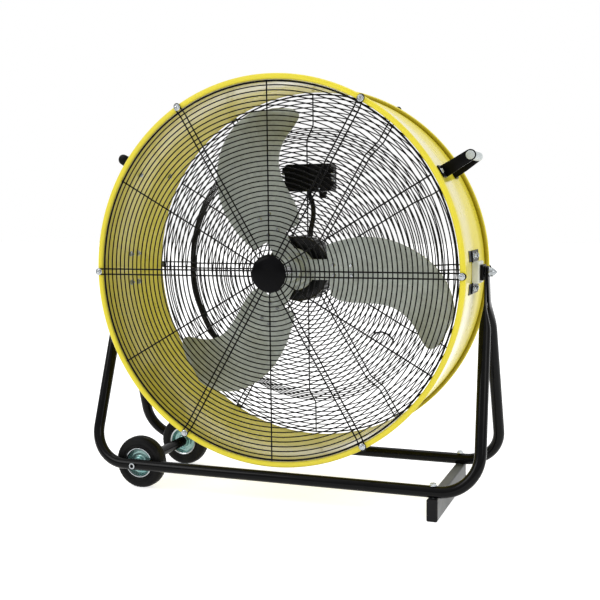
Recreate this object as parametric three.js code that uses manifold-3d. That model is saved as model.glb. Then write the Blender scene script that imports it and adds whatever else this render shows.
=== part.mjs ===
// Drum fan on a rolling tilt stand: a yellow steel drum with wire guards, a three-blade
// fan on a motor carried by the rear guard, and a two-piece tube stand with two wheels.
// Millimetres. +X to the right, +Y to the back, +Z up; air leaves through the front (-Y).
// The origin is on the floor, under the middle of the drum.
import * as THREE from 'three';
import { mergeVertices } from 'three/addons/utils/BufferGeometryUtils.js';
import Module from 'manifold-3d';

const wasm = await Module();
wasm.setup();

// ---------------------------------------------------------------- driving dimensions

const axisHeight = 502;          // drum and tilt axis above the floor
const gap = 0.3;                 // air left between pieces that touch
const fullTurn = 2 * Math.PI;
const degrees = Math.PI / 180;

// Drum
const rimRadius = 420;           // over the rolled rims
const beadRadius = 6;            // rolled wire edge
const beadCentre = rimRadius - beadRadius;
const bandRadius = 411;          // outside of the band
const bandWall = 2.5;
const beadY = 139;               // middle plane of each rolled rim
const rimFace = beadY + beadRadius;

// Guards
const wire = 3.3;                // spoke wire
const guardPlane = 141.5;        // front face of the front guard's flat part
const spokeCount = 12;           // every second one is a pair of wires
const pairSpread = 6;            // half the distance between the wires of a pair
const rearDish = 101;            // front face of the rear guard's sunken middle
const dishOuter = 331;           // the dish wall runs from this radius ...
const dishInner = 295;           // ... in to this one
const guardBoltRadius = 413;
const badgeRadius = 39.5;

// Fan
const bladeCount = 3;
const bladeTurn = 0;             // first blade points to +X
const bladeSlope = -0.25;        // rise along Y for each millimetre along the turn
const bladeY = 5;
const bladeSheet = 2;
const shaftRadius = 9;

// Motor
const motorRadius = 75;
const motorFront = 30;
const motorRear = 97;

// Terminal box
const boxWidth = 116;
const boxHeight = 64;
const boxFront = 104.5;
const boxRear = 142;
const boxMiddle = 209;           // above the drum axis

// Stand
const tubeRadius = 12.5;
const trackHalf = 140;           // bottom tubes in front of and behind the axis
const tubeHeight = 60;           // bottom tube centre above the floor
const cornerX = 449;             // where leg and bottom tube lines cross
const bendRadius = 80;
const frontLegTopX = 436;
const rearLegTopX = 440.3;
const legsMeet = 30;             // the leg lines cross this far below the tilt axis
const flatHalf = 2;              // half thickness of a flattened tube end
const flatReach = 12.5;          // half width of a flattened tube end
const flatLength = 64;           // from the tilt axis down to where the tube starts to round out
const pivotBoltRadius = 6;

// Wheels and foot
const wheelRadius = 60;
const wheelHalfWidth = 16;
const wheelX = -338;
const wheelY = 110.5;
const axleRadius = 5;
const footX = 355;
const footWidth = 22;
const footTop = tubeHeight - tubeRadius - gap;
const footHalfLength = 146;

// Handles
const rightHandleAngle = 30.7 * degrees;
const leftHandleAngle = 32.4 * degrees;
const gripRadius = 9.5;
const gripCentre = 477;
const handlePlateY = 43.5;
const handleFootBoltY = 70;

// ---------------------------------------------------------------- materials

const finish = (color, roughness, metalness) =>
  new THREE.MeshStandardMaterial({ color, roughness, metalness });

const yellowPaint = finish(0xd9c52e, 0.4, 0.0);
const blackPaint = finish(0x141414, 0.3, 0.0);
const blackWire = finish(0x1a1a1a, 0.4, 0.3);
const galvanised = finish(0x9fa08e, 0.45, 0.7);
const brightZinc = finish(0xc9cdd0, 0.25, 1.0);
const blackRubber = finish(0x161616, 0.85, 0.0);
const blackPlastic = finish(0x101012, 0.35, 0.0);
const greyPlastic = finish(0xa7acac, 0.5, 0.0);
const greyPaint = finish(0x8b9496, 0.5, 0.2);
const hubZinc = finish(0x7ba3a1, 0.35, 0.8);
const motorPaint = finish(0x1b1b1b, 0.5, 0.2);
const laminated = finish(0x6d6f72, 0.5, 0.8);

// ---------------------------------------------------------------- making solids

// Merge equal corners, drop collapsed triangles and turn the faces outward.
function closed(geometry) {
  const bare = geometry.clone();
  bare.deleteAttribute('normal');
  bare.deleteAttribute('uv');
  bare.clearGroups();
  const merged = mergeVertices(bare, 1e-3);
  const index = merged.index.array;
  const position = merged.attributes.position;
  const corners = [0, 1, 2].map(() => new THREE.Vector3());
  const kept = [];
  let volume = 0;
  for (let i = 0; i < index.length; i += 3) {
    const [a, b, c] = index.slice(i, i + 3);
    if (a === b || b === c || a === c) continue;
    kept.push([a, b, c]);
    [a, b, c].forEach((n, k) => corners[k].fromBufferAttribute(position, n));
    volume += corners[0].dot(corners[1].clone().cross(corners[2]));
  }
  merged.setIndex(kept.flatMap(([a, b, c]) => (volume > 0 ? [a, b, c] : [a, c, b])));
  return merged;
}

function toSolid(geometry) {
  const body = closed(geometry);
  return new wasm.Manifold(new wasm.Mesh({
    numProp: 3,
    vertProperties: new Float32Array(body.attributes.position.array),
    triVerts: new Uint32Array(body.index.array),
  }));
}

function toGeometry(manifold) {
  const result = manifold.getMesh();
  const geometry = new THREE.BufferGeometry();
  geometry.setAttribute('position', new THREE.BufferAttribute(result.vertProperties, 3));
  geometry.setIndex(new THREE.BufferAttribute(result.triVerts, 1));
  return geometry;
}

function join(first, ...others) {
  return toGeometry(others.reduce((body, g) => body.add(toSolid(g)), toSolid(first)));
}

function cut(first, ...tools) {
  return toGeometry(tools.reduce((body, g) => body.subtract(toSolid(g)), toSolid(first)));
}

// Turned shape about the Y axis. The outline is a list of [radius, y] and closes on itself.
function turned(outline, segments) {
  const points = [...outline, outline[0]].map(([r, y]) => new THREE.Vector2(r, y));
  return closed(new THREE.LatheGeometry(points, segments));
}

// The same with its ends on the axis.
function turnedSolid(outline, segments) {
  const ends = [[0, outline[0][1]], ...outline, [0, outline.at(-1)[1]]];
  return closed(new THREE.LatheGeometry(ends.map(([r, y]) => new THREE.Vector2(r, y)), segments));
}

function rodY(radius, from, to, sides = 12) {
  return new THREE.CylinderGeometry(radius, radius, to - from, sides).translate(0, (from + to) / 2, 0);
}

function rodX(radius, from, to, sides = 12) {
  return rodY(radius, from, to, sides).rotateZ(-Math.PI / 2);
}

function rodZ(radius, from, to, sides = 12) {
  return rodY(radius, from, to, sides).rotateX(Math.PI / 2);
}

function block([x0, x1], [y0, y1], [z0, z1]) {
  const box = new THREE.BoxGeometry(x1 - x0, y1 - y0, z1 - z0);
  return box.translate((x0 + x1) / 2, (y0 + y1) / 2, (z0 + z1) / 2);
}

function outlineShape(points) {
  return new THREE.Shape(points.map(([x, y]) => new THREE.Vector2(x, y)));
}

// A flat plate drawn in X and Z, from y = front to the back by its thickness.
function plateXZ(shape, front, thickness, curveSegments = 12) {
  const plate = new THREE.ExtrudeGeometry(shape, { depth: thickness, bevelEnabled: false, curveSegments });
  return plate.rotateX(Math.PI / 2).translate(0, front + thickness, 0);
}

// A bar whose side view is drawn in X and Y, centred on Z.
function barXY(points, width) {
  const bar = new THREE.ExtrudeGeometry(outlineShape(points), { depth: width, bevelEnabled: false });
  return bar.translate(0, 0, -width / 2);
}

// A closed skin through rings of equal point counts, with flat ends.
function loft(rings) {
  const sides = rings[0].length;
  const index = [];
  for (let i = 0; i < rings.length - 1; i++) {
    for (let k = 0; k < sides; k++) {
      const a = i * sides + k;
      const b = i * sides + (k + 1) % sides;
      index.push(a, b, b + sides, a, b + sides, a + sides);
    }
  }
  const last = (rings.length - 1) * sides;
  for (let k = 1; k < sides - 1; k++) {
    index.push(0, k + 1, k, last, last + k, last + k + 1);
  }
  const geometry = new THREE.BufferGeometry();
  geometry.setAttribute('position', new THREE.Float32BufferAttribute(rings.flat().flatMap((p) => p.toArray()), 3));
  geometry.setIndex(index);
  return closed(geometry);
}

function place(parent, name, geometry, material) {
  const mesh = new THREE.Mesh(closed(geometry), material);
  mesh.name = name;
  parent.add(mesh);
  return mesh;
}

// A group turned about the drum axis, so that its +X points out at the angle above +X.
function radialGroup(parent, angle) {
  const group = new THREE.Group();
  group.rotation.y = -angle;
  parent.add(group);
  return group;
}

// ---------------------------------------------------------------- drum

function drumShell() {
  const wallRadius = bandRadius - bandWall;
  const beadSteps = 5;
  const arcFrom = 180 * degrees;
  const arcTo = -52 * degrees;
  const rearBead = [];
  for (let i = 0; i <= beadSteps; i++) {
    const turn = arcFrom + (arcTo - arcFrom) * (i / beadSteps);
    rearBead.push([beadCentre + beadRadius * Math.cos(turn), beadY + beadRadius * Math.sin(turn)]);
  }
  const frontBead = rearBead.map(([r, y]) => [r, -y]).reverse();
  const creaseY = beadY - 7;
  const shell = turned([
    [wallRadius, -beadY + 3],
    [wallRadius, beadY - 3],
    ...rearBead,
    [bandRadius, creaseY],
    [bandRadius, -creaseY],
    ...frontBead,
  ], 48);
  const boltHoles = guardBoltAngles().map((angle) =>
    rodY(3.3, -rimFace - 1, -rimFace + 17, 8).translate(guardBoltRadius, 0, 0).rotateY(-angle));
  return cut(shell, ...boltHoles);
}

// ---------------------------------------------------------------- guards

function guardBoltAngles() {
  return Array.from({ length: spokeCount / 2 }, (_, k) => (k * 2 * fullTurn) / spokeCount);
}

function spokeHalfWidth(k) {
  return k % 2 === 0 ? pairSpread + wire / 2 : wire / 2;
}

// The opening between two neighbouring spokes and two neighbouring rings.
function guardOpening(k, innerRing, outerRing, steps) {
  const sector = fullTurn / spokeCount;
  const low = innerRing + wire / 2;
  const high = outerRing - wire / 2;
  const edge = (r) => [
    k * sector + Math.asin(spokeHalfWidth(k) / r),
    (k + 1) * sector - Math.asin(spokeHalfWidth(k + 1) / r),
  ];
  const arc = (r, [from, to]) => Array.from({ length: steps + 1 }, (_, i) => {
    const turn = from + (to - from) * (i / steps);
    return new THREE.Vector2(r * Math.cos(turn), r * Math.sin(turn));
  });
  return new THREE.Path([...arc(high, edge(high)), ...arc(low, edge(low)).reverse()]);
}

// The slot between the two wires of a pair.
function pairSlot(angle, from, to) {
  const half = pairSpread - wire / 2;
  const corners = [[from, -half], [to, -half], [to, half], [from, half]];
  return new THREE.Path(corners.map(([r, t]) => new THREE.Vector2(
    r * Math.cos(angle) - t * Math.sin(angle),
    r * Math.sin(angle) + t * Math.cos(angle),
  )));
}

function circlePoints(radius, count) {
  return Array.from({ length: count }, (_, i) => new THREE.Vector2(
    radius * Math.cos((i / count) * fullTurn),
    radius * Math.sin((i / count) * fullTurn),
  ));
}

// A flat grille of rings and spokes, one wire thick.
function grille(rings, front) {
  const outer = rings.at(-1) + wire / 2;
  const shape = new THREE.Shape(circlePoints(outer, 48));
  const inner = rings[0] - wire / 2;
  shape.holes.push(new THREE.Path(circlePoints(inner, 24)));
  for (let i = 0; i < rings.length - 1; i++) {
    for (let k = 0; k < spokeCount; k++) {
      const steps = rings[i + 1] > 300 ? 3 : 2;
      shape.holes.push(guardOpening(k, rings[i], rings[i + 1], steps));
    }
  }
  for (const angle of guardBoltAngles()) {
    shape.holes.push(pairSlot(angle, rings[0] + wire, rings.at(-1) - wire));
  }
  return plateXZ(shape, front, wire);
}

function frontGuard() {
  const rings = [42, 132, 222, 312, 403.2];
  const flat = -guardPlane;
  const over = -rimFace - gap - wire;
  const tab = barXY([
    [392, flat], [398, flat], [408, over], [rimRadius + 1.5, over],
    [rimRadius + 1.5, over + wire], [409.5, over + wire], [399.3, flat + wire], [392, flat + wire],
  ], 2 * spokeHalfWidth(0));
  const tabs = guardBoltAngles().map((angle) => tab.clone().rotateY(-angle));
  const holes = guardBoltAngles().map((angle) =>
    rodY(3.6, over - 1, over + wire + 1, 8).translate(guardBoltRadius, 0, 0).rotateY(-angle));
  return cut(join(grille(rings, flat), ...tabs), ...holes);
}

function rearGuard() {
  const back = rimFace + gap;
  const middle = grille([56, 118, 206, dishInner], rearDish);
  const border = grille([dishOuter, 408], back);
  const wallSide = [
    [dishOuter + 1.5, back], [dishOuter + 1.5, back + wire], [dishOuter - 2, back + wire],
    [dishInner - 1.5, rearDish + wire], [dishInner - 1.5, rearDish], [dishInner + 2, rearDish],
  ];
  const pieces = [];
  for (let k = 0; k < spokeCount; k++) {
    const angle = (k * fullTurn) / spokeCount;
    pieces.push(barXY(wallSide, 2 * spokeHalfWidth(k)).rotateY(-angle));
    if (k % 2 === 0) {
      const ends = block([405, rimRadius], [back, back + wire], [-spokeHalfWidth(k), spokeHalfWidth(k)]);
      pieces.push(ends.rotateY(-angle));
    }
  }
  return join(middle, border, ...pieces);
}

function guardBadge() {
  const seat = -guardPlane - gap;
  return turnedSolid([
    [badgeRadius - 1, seat], [badgeRadius, seat - 1.5],
    [badgeRadius - 1.5, seat - 5], [badgeRadius - 12, seat - 6.5],
  ], 28);
}

// A flanged bolt along Y with its head in front.
function guardBolt() {
  const headBack = -rimFace - gap - wire - gap;
  return join(
    rodY(7.2, headBack - 1.2, headBack, 12),
    rodY(5, headBack - 4.2, headBack - 1.2, 6),
    rodY(3, headBack, -rimFace + 15, 8),
  );
}

// ---------------------------------------------------------------- motor and fan

function motorHousing() {
  const wall = 5;
  const seat = 18.1;
  const front = motorFront + 8 + gap;
  return turned([
    [motorRadius - wall, front], [motorRadius, front], [motorRadius, motorRear - 4],
    [motorRadius - 4, motorRear], [seat, motorRear], [seat, motorRear - 10],
    [motorRadius - wall, motorRear - 10],
  ], 24);
}

function motorFrontCover() {
  return turned([
    [18.1, motorFront], [motorRadius - 6, motorFront], [motorRadius, motorFront + 4],
    [motorRadius, motorFront + 8], [18.1, motorFront + 8],
  ], 24);
}

function motorMountPlate() {
  const front = motorRear + gap;
  return turned([[20, front], [64, front], [64, rearDish - gap], [20, rearDish - gap]], 24);
}

function bearing(front) {
  const [bore, outside, rear] = [shaftRadius + 0.15, 17.8, front + 9];
  return turned([[bore, front], [outside, front], [outside, rear], [bore, rear]], 20);
}

// Laminated iron, as wide as the windings' core.
const statorBore = 45;

function ironRing(inside, outside) {
  const [front, rear] = [46, 84];
  return turned([[inside, front], [outside, front], [outside, rear], [inside, rear]], 24);
}

function fanHub() {
  const bore = shaftRadius + gap;
  return turned([
    [bore, -24], [26, -24], [28, -21], [28, -2], [38, 0], [38, 5.6], [bore, 5.6],
  ], 20);
}

// Three pitched arms on a disc, behind the blades.
function fanSpider() {
  const sheet = 3;
  const discFront = 5.9;
  const slope = Math.atan(-bladeSlope);
  const arm = block([20, 150], [0, sheet], [-24, 24]).rotateX(slope).translate(0, bladeY + 1.6, 0);
  const arms = Array.from({ length: bladeCount }, (_, k) =>
    arm.clone().rotateY(-bladeTurn - (k * fullTurn) / bladeCount));
  const disc = rodY(48, discFront, discFront + 8, 18);
  return cut(join(disc, ...arms), rodY(shaftRadius + gap, -30, 40, 16), rodY(38.6, -30, discFront, 20));
}

// One blade lies along +X. Each station is a pair of edge points [out, along the turn]:
// the edge that trails and stands forward, then the edge that leads and lies back.
const bladeStations = [
  [[84, 56], [84, -58]],
  [[111, 65], [110, -71]],
  [[150, 73], [150, -74]],
  [[190, 74], [190, -75]],
  [[226, 69], [222, -82]],
  [[258, 58], [244, -94]],
  [[285, 44], [262, -111]],
  [[308, 28], [275, -132]],
  [[328, 9], [286, -156]],
  [[343, -12], [300, -175]],
  [[355, -36], [318, -172]],
  [[362, -62], [334, -153]],
  [[364, -86], [347, -131]],
];

function fanBlade() {
  const across = 4;
  const camber = 8;
  const rings = bladeStations.map(([trail, lead]) => {
    const rise = THREE.MathUtils.smoothstep(trail[0], 150, 230);
    const centre = [];
    for (let i = 0; i <= across; i++) {
      const f = i / across;
      const out = THREE.MathUtils.lerp(trail[0], lead[0], f);
      const along = THREE.MathUtils.lerp(trail[1], lead[1], f);
      const bulge = camber * rise * 4 * f * (1 - f);
      centre.push(new THREE.Vector3(out, bladeY + bladeSlope * along + bulge, along));
    }
    const offset = (d) => centre.map((p) => p.clone().add(new THREE.Vector3(0, d, 0)));
    return [...offset(-bladeSheet / 2), ...offset(bladeSheet / 2).reverse()];
  });
  return loft(rings);
}

// ---------------------------------------------------------------- terminal box

const boxFloor = boxMiddle - boxHeight / 2;

function roundedRect(width, height, corner) {
  const w = width / 2;
  const h = height / 2;
  return outlineShape([
    [-w + corner, -h], [w - corner, -h], [w, -h + corner], [w, h - corner],
    [w - corner, h], [-w + corner, h], [-w, h - corner], [-w, -h + corner],
  ]);
}

function terminalBox() {
  const wall = 3;
  const outside = plateXZ(roundedRect(boxWidth, boxHeight, 6), boxFront, boxRear - boxFront);
  const inside = plateXZ(roundedRect(boxWidth - 2 * wall, boxHeight - 2 * wall, 4), boxFront + wall, 60);
  return cut(outside, inside).translate(0, 0, boxMiddle);
}

function terminalBoxLid() {
  const lid = plateXZ(roundedRect(boxWidth, boxHeight, 6), boxRear + gap, 4);
  return lid.translate(0, 0, boxMiddle);
}

function speedKnob() {
  const foot = boxRear + gap + 4 + gap;
  return join(
    rodY(17, foot, foot + 4, 20),
    rodY(13, foot + 4, foot + 11, 16),
    block([-3, 3], [foot + 4, foot + 12], [-13, 13]),
  ).translate(-22, 0, boxMiddle);
}

function capacitor() {
  return turnedSolid([[14, -26], [15, -25], [15, 25], [13, 26]], 16)
    .rotateZ(Math.PI / 2).translate(-18, boxFront + 20, boxMiddle + 8);
}

function cableGland() {
  return turned([[4, -16], [7, -16], [9, -12], [9, -6], [11, -5], [11, 0], [4, 0]], 12)
    .rotateX(Math.PI / 2).translate(30, boxFront + 22, boxFloor - gap);
}

function motorConduit() {
  const route = new THREE.CatmullRomCurve3([
    [-1.5, 121, boxFloor - 2 * gap], [-1.5, 121, 168], [9, 112, 149], [16.5, 97, 131],
    [21.5, 80, 113], [21.5, 69, 96], [21, 66, 86], [20.5, 66, motorRadius + gap],
  ].map((p) => new THREE.Vector3(...p)));
  const section = new THREE.Shape(circlePoints(5.8, 8));
  return new THREE.ExtrudeGeometry(section, { steps: 14, bevelEnabled: false, extrudePath: route });
}

// ---------------------------------------------------------------- handles and pivots

// Side plate of a handle: a foot bolted to the band and an upright that holds the grip.
function handlePlate(side) {
  const sheet = 3;
  const foot = bandRadius + gap;
  const upright = outlineShape([
    [foot, -14], [foot + 40, -12.5], [gripCentre + 3, -11.8], [gripCentre + 9, -8], [gripCentre + 12, -3],
    [gripCentre + 12, 3], [gripCentre + 9, 8], [gripCentre + 3, 11.8], [foot + 40, 12.5], [foot, 14],
  ]);
  const near = side > 0 ? handlePlateY : -handlePlateY - sheet;
  const footEnd = handleFootBoltY + 7;
  const footY = side > 0 ? [handlePlateY, footEnd] : [-footEnd, -handlePlateY];
  const body = join(plateXZ(upright, near, sheet), block([foot, foot + sheet], footY, [-14, 14]));
  const gripHole = rodY(gripRadius + gap, near - 1, near + sheet + 1, 16).translate(gripCentre, 0, 0);
  const boltHole = rodX(3.3, foot - 1, foot + sheet + 1, 8).translate(0, side * handleFootBoltY, 0);
  return cut(body, gripHole, boltHole);
}

function handleGrip() {
  const half = handlePlateY + 4.5;
  return turnedSolid([
    [gripRadius - 2, -half], [gripRadius, -half + 3], [gripRadius, half - 3], [gripRadius - 2, half],
  ], 16).translate(gripCentre, 0, 0);
}

// Cup-shaped bracket on the band: two feet and a raised, closed middle that carries the
// pivot bolt.
const hatInside = 423.5;
const hatSheet = 2.5;
const hatHalfWidth = 27;

function pivotBracket() {
  const half = [[408.9, 45], [410.9, 24], [411.4, 20.5], [hatInside, 20.5]];
  const outer = [[hatInside + hatSheet, 23], [413.6, 23], [413.4, 25], [411.4, 45.2]];
  const mirror = ([x, z]) => [x, -z];
  const hat = outlineShape([
    ...half, ...half.map(mirror).reverse(), ...outer.map(mirror).reverse(), ...outer,
  ]);
  const wall = [hatHalfWidth - hatSheet, hatHalfWidth];
  const ends = [wall, wall.map((y) => -y).reverse()].map((y) => block([411.5, hatInside + 1], y, [-21, 21]));
  const boltHole = rodX(pivotBoltRadius + gap, hatInside - 1, hatInside + hatSheet + 1, 12);
  return cut(join(plateXZ(hat, -hatHalfWidth, 2 * hatHalfWidth), ...ends), boltHole);
}

function pivotSpacer() {
  const from = hatInside + hatSheet + gap;
  const to = frontLegTopX - flatHalf - 3 * gap;
  return cut(block([from, to], [-18, 18], [-17, 16]), rodX(pivotBoltRadius + gap, from - 1, to + 1, 12));
}

const pivotBoltEnd = 451.7;

function pivotBolt() {
  return join(rodX(9, hatInside - 4, hatInside - gap, 12), rodX(pivotBoltRadius, hatInside - 1, pivotBoltEnd, 12));
}

// Hand nut with a wide foot and a pointed, closed end.
function tiltKnob() {
  const foot = rearLegTopX + flatHalf + gap;
  const bore = pivotBoltRadius + gap;
  return turned([
    [bore, foot], [10.5, foot], [10.5, foot + 3], [8.8, foot + 4], [8.8, foot + 8],
    [3, foot + 16], [0, foot + 16.5], [0, pivotBoltEnd + gap], [bore, pivotBoltEnd + gap],
  ], 12).rotateZ(-Math.PI / 2);
}

// ---------------------------------------------------------------- stand

const legRise = axisHeight - tubeHeight;
const legLean = Math.atan2(trackHalf, legRise - legsMeet);
const legLength = trackHalf * Math.sin(legLean) + legRise * Math.cos(legLean);
const pivotShift = trackHalf * Math.cos(legLean) - legRise * Math.sin(legLean);

// Stations along one U tube in its own plane: x across, s up the leg, from the middle of
// the bottom to the flattened top of the right leg. The flat ends lean back to the axis.
function tubeStations(topX) {
  const leg = new THREE.Vector2(topX - cornerX, legLength).normalize();
  const sweep = Math.atan2(leg.y, leg.x);
  const start = cornerX - bendRadius * Math.tan(sweep / 2);
  const bendSteps = 7;
  const stations = [];
  for (let i = 0; i <= bendSteps; i++) {
    const turn = (sweep * i) / bendSteps;
    stations.push({
      x: start + bendRadius * Math.sin(turn),
      s: bendRadius * (1 - Math.cos(turn)),
      turn, thin: tubeRadius, wide: tubeRadius, shift: 0,
    });
  }
  const onLeg = (below, thin, wide) => ({
    x: topX - below * leg.x, s: legLength - below * leg.y, turn: sweep, thin, wide,
    shift: pivotShift * (1 - Math.min(below / flatLength, 1)),
  });
  stations.push(onLeg(125, tubeRadius, tubeRadius), onLeg(100, 9.5, 13.5), onLeg(80, 5, 13.5));
  stations.push(onLeg(flatLength, flatHalf, flatReach), onLeg(-7, flatHalf, flatReach), onLeg(-13, flatHalf, flatReach - 7));
  return stations;
}

function uTube(topX, lean) {
  const side = Math.sign(lean);
  const right = tubeStations(topX);
  const left = right.map((p) => ({ ...p, x: -p.x, turn: -p.turn })).reverse();
  const sides = 10;
  const rings = [...left, ...right].map(({ x, s, turn, thin, wide, shift }) =>
    Array.from({ length: sides }, (_, k) => {
      const a = ((k + 0.5) / sides) * fullTurn;
      const inPlane = thin * Math.cos(a);
      return new THREE.Vector3(
        x - inPlane * Math.sin(turn),
        wide * Math.sin(a) + side * shift,
        s + inPlane * Math.cos(turn),
      );
    }));
  const pivotHole = rodX(pivotBoltRadius + 0.4, -500, 500, 12).translate(0, side * pivotShift, legLength);
  const axleHole = rodY(axleRadius + gap, -30, 30, 12).rotateX(lean).translate(wheelX, 0, 0);
  const footHole = rodZ(4 + gap, -40, 40, 8).rotateX(lean).translate(footX, 0, 0);
  return cut(loft(rings), pivotHole, axleHole, footHole);
}

function footBar() {
  const wall = 2;
  const half = footWidth / 2;
  const outside = block([-half, half], [-footHalfLength, footHalfLength], [0, footTop]);
  const inside = block([-half + wall, half - wall], [-200, 200], [wall, footTop - wall]);
  const holes = [-trackHalf, trackHalf].map((y) => rodZ(4 + gap, 30, 60, 8).translate(0, y, 0));
  return cut(outside, inside, ...holes);
}

function footCap(side) {
  const half = footWidth / 2;
  const face = side * (footHalfLength + gap);
  const end = side * 153;
  const plug = side * (footHalfLength - 1);
  return join(
    block([-half, half], [face, end].sort((a, b) => a - b), [0, footTop]),
    block([-half + 2 + gap, half - 2 - gap], [plug, face + side].sort((a, b) => a - b), [2 + gap, 30]),
  );
}

function footBolt() {
  const seat = tubeHeight + tubeRadius + gap;
  return join(
    rodZ(8, seat, seat + 1.5, 12),
    rodZ(6.5, seat + 1.5, seat + 6, 6),
    rodZ(4, 38, seat, 8),
  );
}

const axleEnd = trackHalf + tubeRadius + 6;

function axle() {
  const headBack = -trackHalf - tubeRadius - gap;
  const rod = rodY(axleRadius, headBack - 1, axleEnd, 12);
  const head = rodY(7, -axleEnd, headBack, 16);
  const socket = rodY(3.5, -axleEnd - 1, -axleEnd + 3, 6);
  return cut(join(rod, head), socket);
}

function axleNut() {
  const seat = trackHalf + tubeRadius + gap;
  return cut(rodY(8.5, seat, axleEnd - 1, 6), rodY(axleRadius + gap, 100, 200, 12));
}

const hubHalfWidth = 16.5;

function axleSpacer() {
  const half = wheelY - hubHalfWidth - gap;
  return turned([[axleRadius + gap, -half], [12, -half], [12, half], [axleRadius + gap, half]], 16);
}

function tyre() {
  return turned([
    [34.5, -13], [46, -wheelHalfWidth], [56, 2 - wheelHalfWidth], [wheelRadius, -6],
    [wheelRadius, 6], [56, wheelHalfWidth - 2], [46, wheelHalfWidth], [34.5, 13],
  ], 24);
}

// Pressed steel wheel centre: hub, dished disc and rim.
function wheelRim() {
  const bore = axleRadius + 2.2;
  return turned([
    [bore, -hubHalfWidth], [13, -hubHalfWidth], [15, -8], [28, -6], [31, -13], [34.1, -13],
    [34.1, 13], [31, 13], [28, 6], [15, 8], [13, hubHalfWidth], [bore, hubHalfWidth],
  ], 24);
}

function wheelBush() {
  const inner = axleRadius + 0.15;
  const outer = axleRadius + 1.9;
  return turned([[inner, -hubHalfWidth], [outer, -hubHalfWidth], [outer, hubHalfWidth], [inner, hubHalfWidth]], 16);
}

// ---------------------------------------------------------------- assembly

const fan = new THREE.Group();

const stand = new THREE.Group();
fan.add(stand);
const frontTube = place(stand, 'front_u_tube', uTube(frontLegTopX, legLean), blackPaint);
frontTube.position.set(0, -trackHalf, tubeHeight);
frontTube.rotation.x = -legLean;
const rearTube = place(stand, 'rear_u_tube', uTube(rearLegTopX, -legLean), blackPaint);
rearTube.position.set(0, trackHalf, tubeHeight);
rearTube.rotation.x = legLean;

const foot = new THREE.Group();
foot.position.x = footX;
stand.add(foot);
place(foot, 'foot_bar', footBar(), greyPaint);
place(foot, 'foot_cap_front', footCap(-1), blackPlastic);
place(foot, 'foot_cap_rear', footCap(1), blackPlastic);
place(foot, 'foot_bolt_front', footBolt(), brightZinc).position.y = -trackHalf;
place(foot, 'foot_bolt_rear', footBolt(), brightZinc).position.y = trackHalf;

const axleLine = new THREE.Group();
axleLine.position.set(wheelX, 0, tubeHeight);
stand.add(axleLine);
place(axleLine, 'axle', axle(), brightZinc);
place(axleLine, 'axle_nut', axleNut(), brightZinc);
place(axleLine, 'axle_spacer', axleSpacer(), blackPaint);

for (const [side, y] of [['front', -wheelY], ['rear', wheelY]]) {
  const wheel = new THREE.Group();
  wheel.position.y = y;
  axleLine.add(wheel);
  place(wheel, `tyre_${side}`, tyre(), blackRubber);
  place(wheel, `wheel_rim_${side}`, wheelRim(), hubZinc);
  place(wheel, `wheel_bush_${side}`, wheelBush(), blackPlastic);
}

const drum = new THREE.Group();
drum.position.z = axisHeight;
fan.add(drum);
place(drum, 'drum_shell', drumShell(), yellowPaint);
place(drum, 'front_guard', frontGuard(), blackWire);
place(drum, 'guard_badge', guardBadge(), blackPlastic);
place(drum, 'rear_guard', rearGuard(), blackWire);
guardBoltAngles().forEach((angle, k) => {
  const seat = radialGroup(drum, angle);
  place(seat, `guard_bolt_${k + 1}`, guardBolt(), brightZinc).position.x = guardBoltRadius;
});

for (const [side, angle] of [['right', rightHandleAngle], ['left', Math.PI - leftHandleAngle]]) {
  const seat = radialGroup(drum, angle);
  place(seat, `handle_plate_front_${side}`, handlePlate(-1), blackPaint);
  place(seat, `handle_plate_rear_${side}`, handlePlate(1), blackPaint);
  place(seat, `handle_grip_${side}`, handleGrip(), greyPlastic);
}

for (const [side, angle] of [['right', 0], ['left', Math.PI]]) {
  const seat = radialGroup(drum, angle);
  place(seat, `pivot_bracket_${side}`, pivotBracket(), greyPaint);
  place(seat, `pivot_spacer_${side}`, pivotSpacer(), blackPlastic);
  place(seat, `pivot_bolt_${side}`, pivotBolt(), brightZinc);
  place(seat, `tilt_knob_${side}`, tiltKnob(), brightZinc);
}

place(drum, 'motor_housing', motorHousing(), motorPaint);
place(drum, 'motor_front_cover', motorFrontCover(), motorPaint);
place(drum, 'motor_mount_plate', motorMountPlate(), blackPaint);
place(drum, 'stator', ironRing(statorBore, motorRadius - 6), laminated);
place(drum, 'bearing_front', bearing(motorFront), brightZinc);
place(drum, 'bearing_rear', bearing(motorRear - 9.5), brightZinc);
place(drum, 'terminal_box', terminalBox(), blackPlastic);
place(drum, 'terminal_box_lid', terminalBoxLid(), blackPlastic);
place(drum, 'speed_knob', speedKnob(), blackPlastic);
place(drum, 'capacitor', capacitor(), greyPlastic);
place(drum, 'cable_gland', cableGland(), blackPlastic);
place(drum, 'motor_conduit', motorConduit(), blackPlastic);

const spinner = new THREE.Group();
drum.add(spinner);
place(spinner, 'motor_shaft', rodY(shaftRadius, -27, motorRear - 1, 16), brightZinc);
place(spinner, 'rotor', ironRing(shaftRadius + gap, statorBore - 0.7), laminated);
place(spinner, 'fan_hub', fanHub(), galvanised);
place(spinner, 'fan_spider', fanSpider(), galvanised);
for (let k = 0; k < bladeCount; k++) {
  const seat = radialGroup(spinner, bladeTurn + (k * fullTurn) / bladeCount);
  place(seat, `blade_${k + 1}`, fanBlade(), galvanised);
}

export default fan;
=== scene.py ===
from math import atan2, cos, hypot, pi, radians, sin, tan

import bmesh
import bpy
from mathutils import Matrix, Vector


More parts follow.
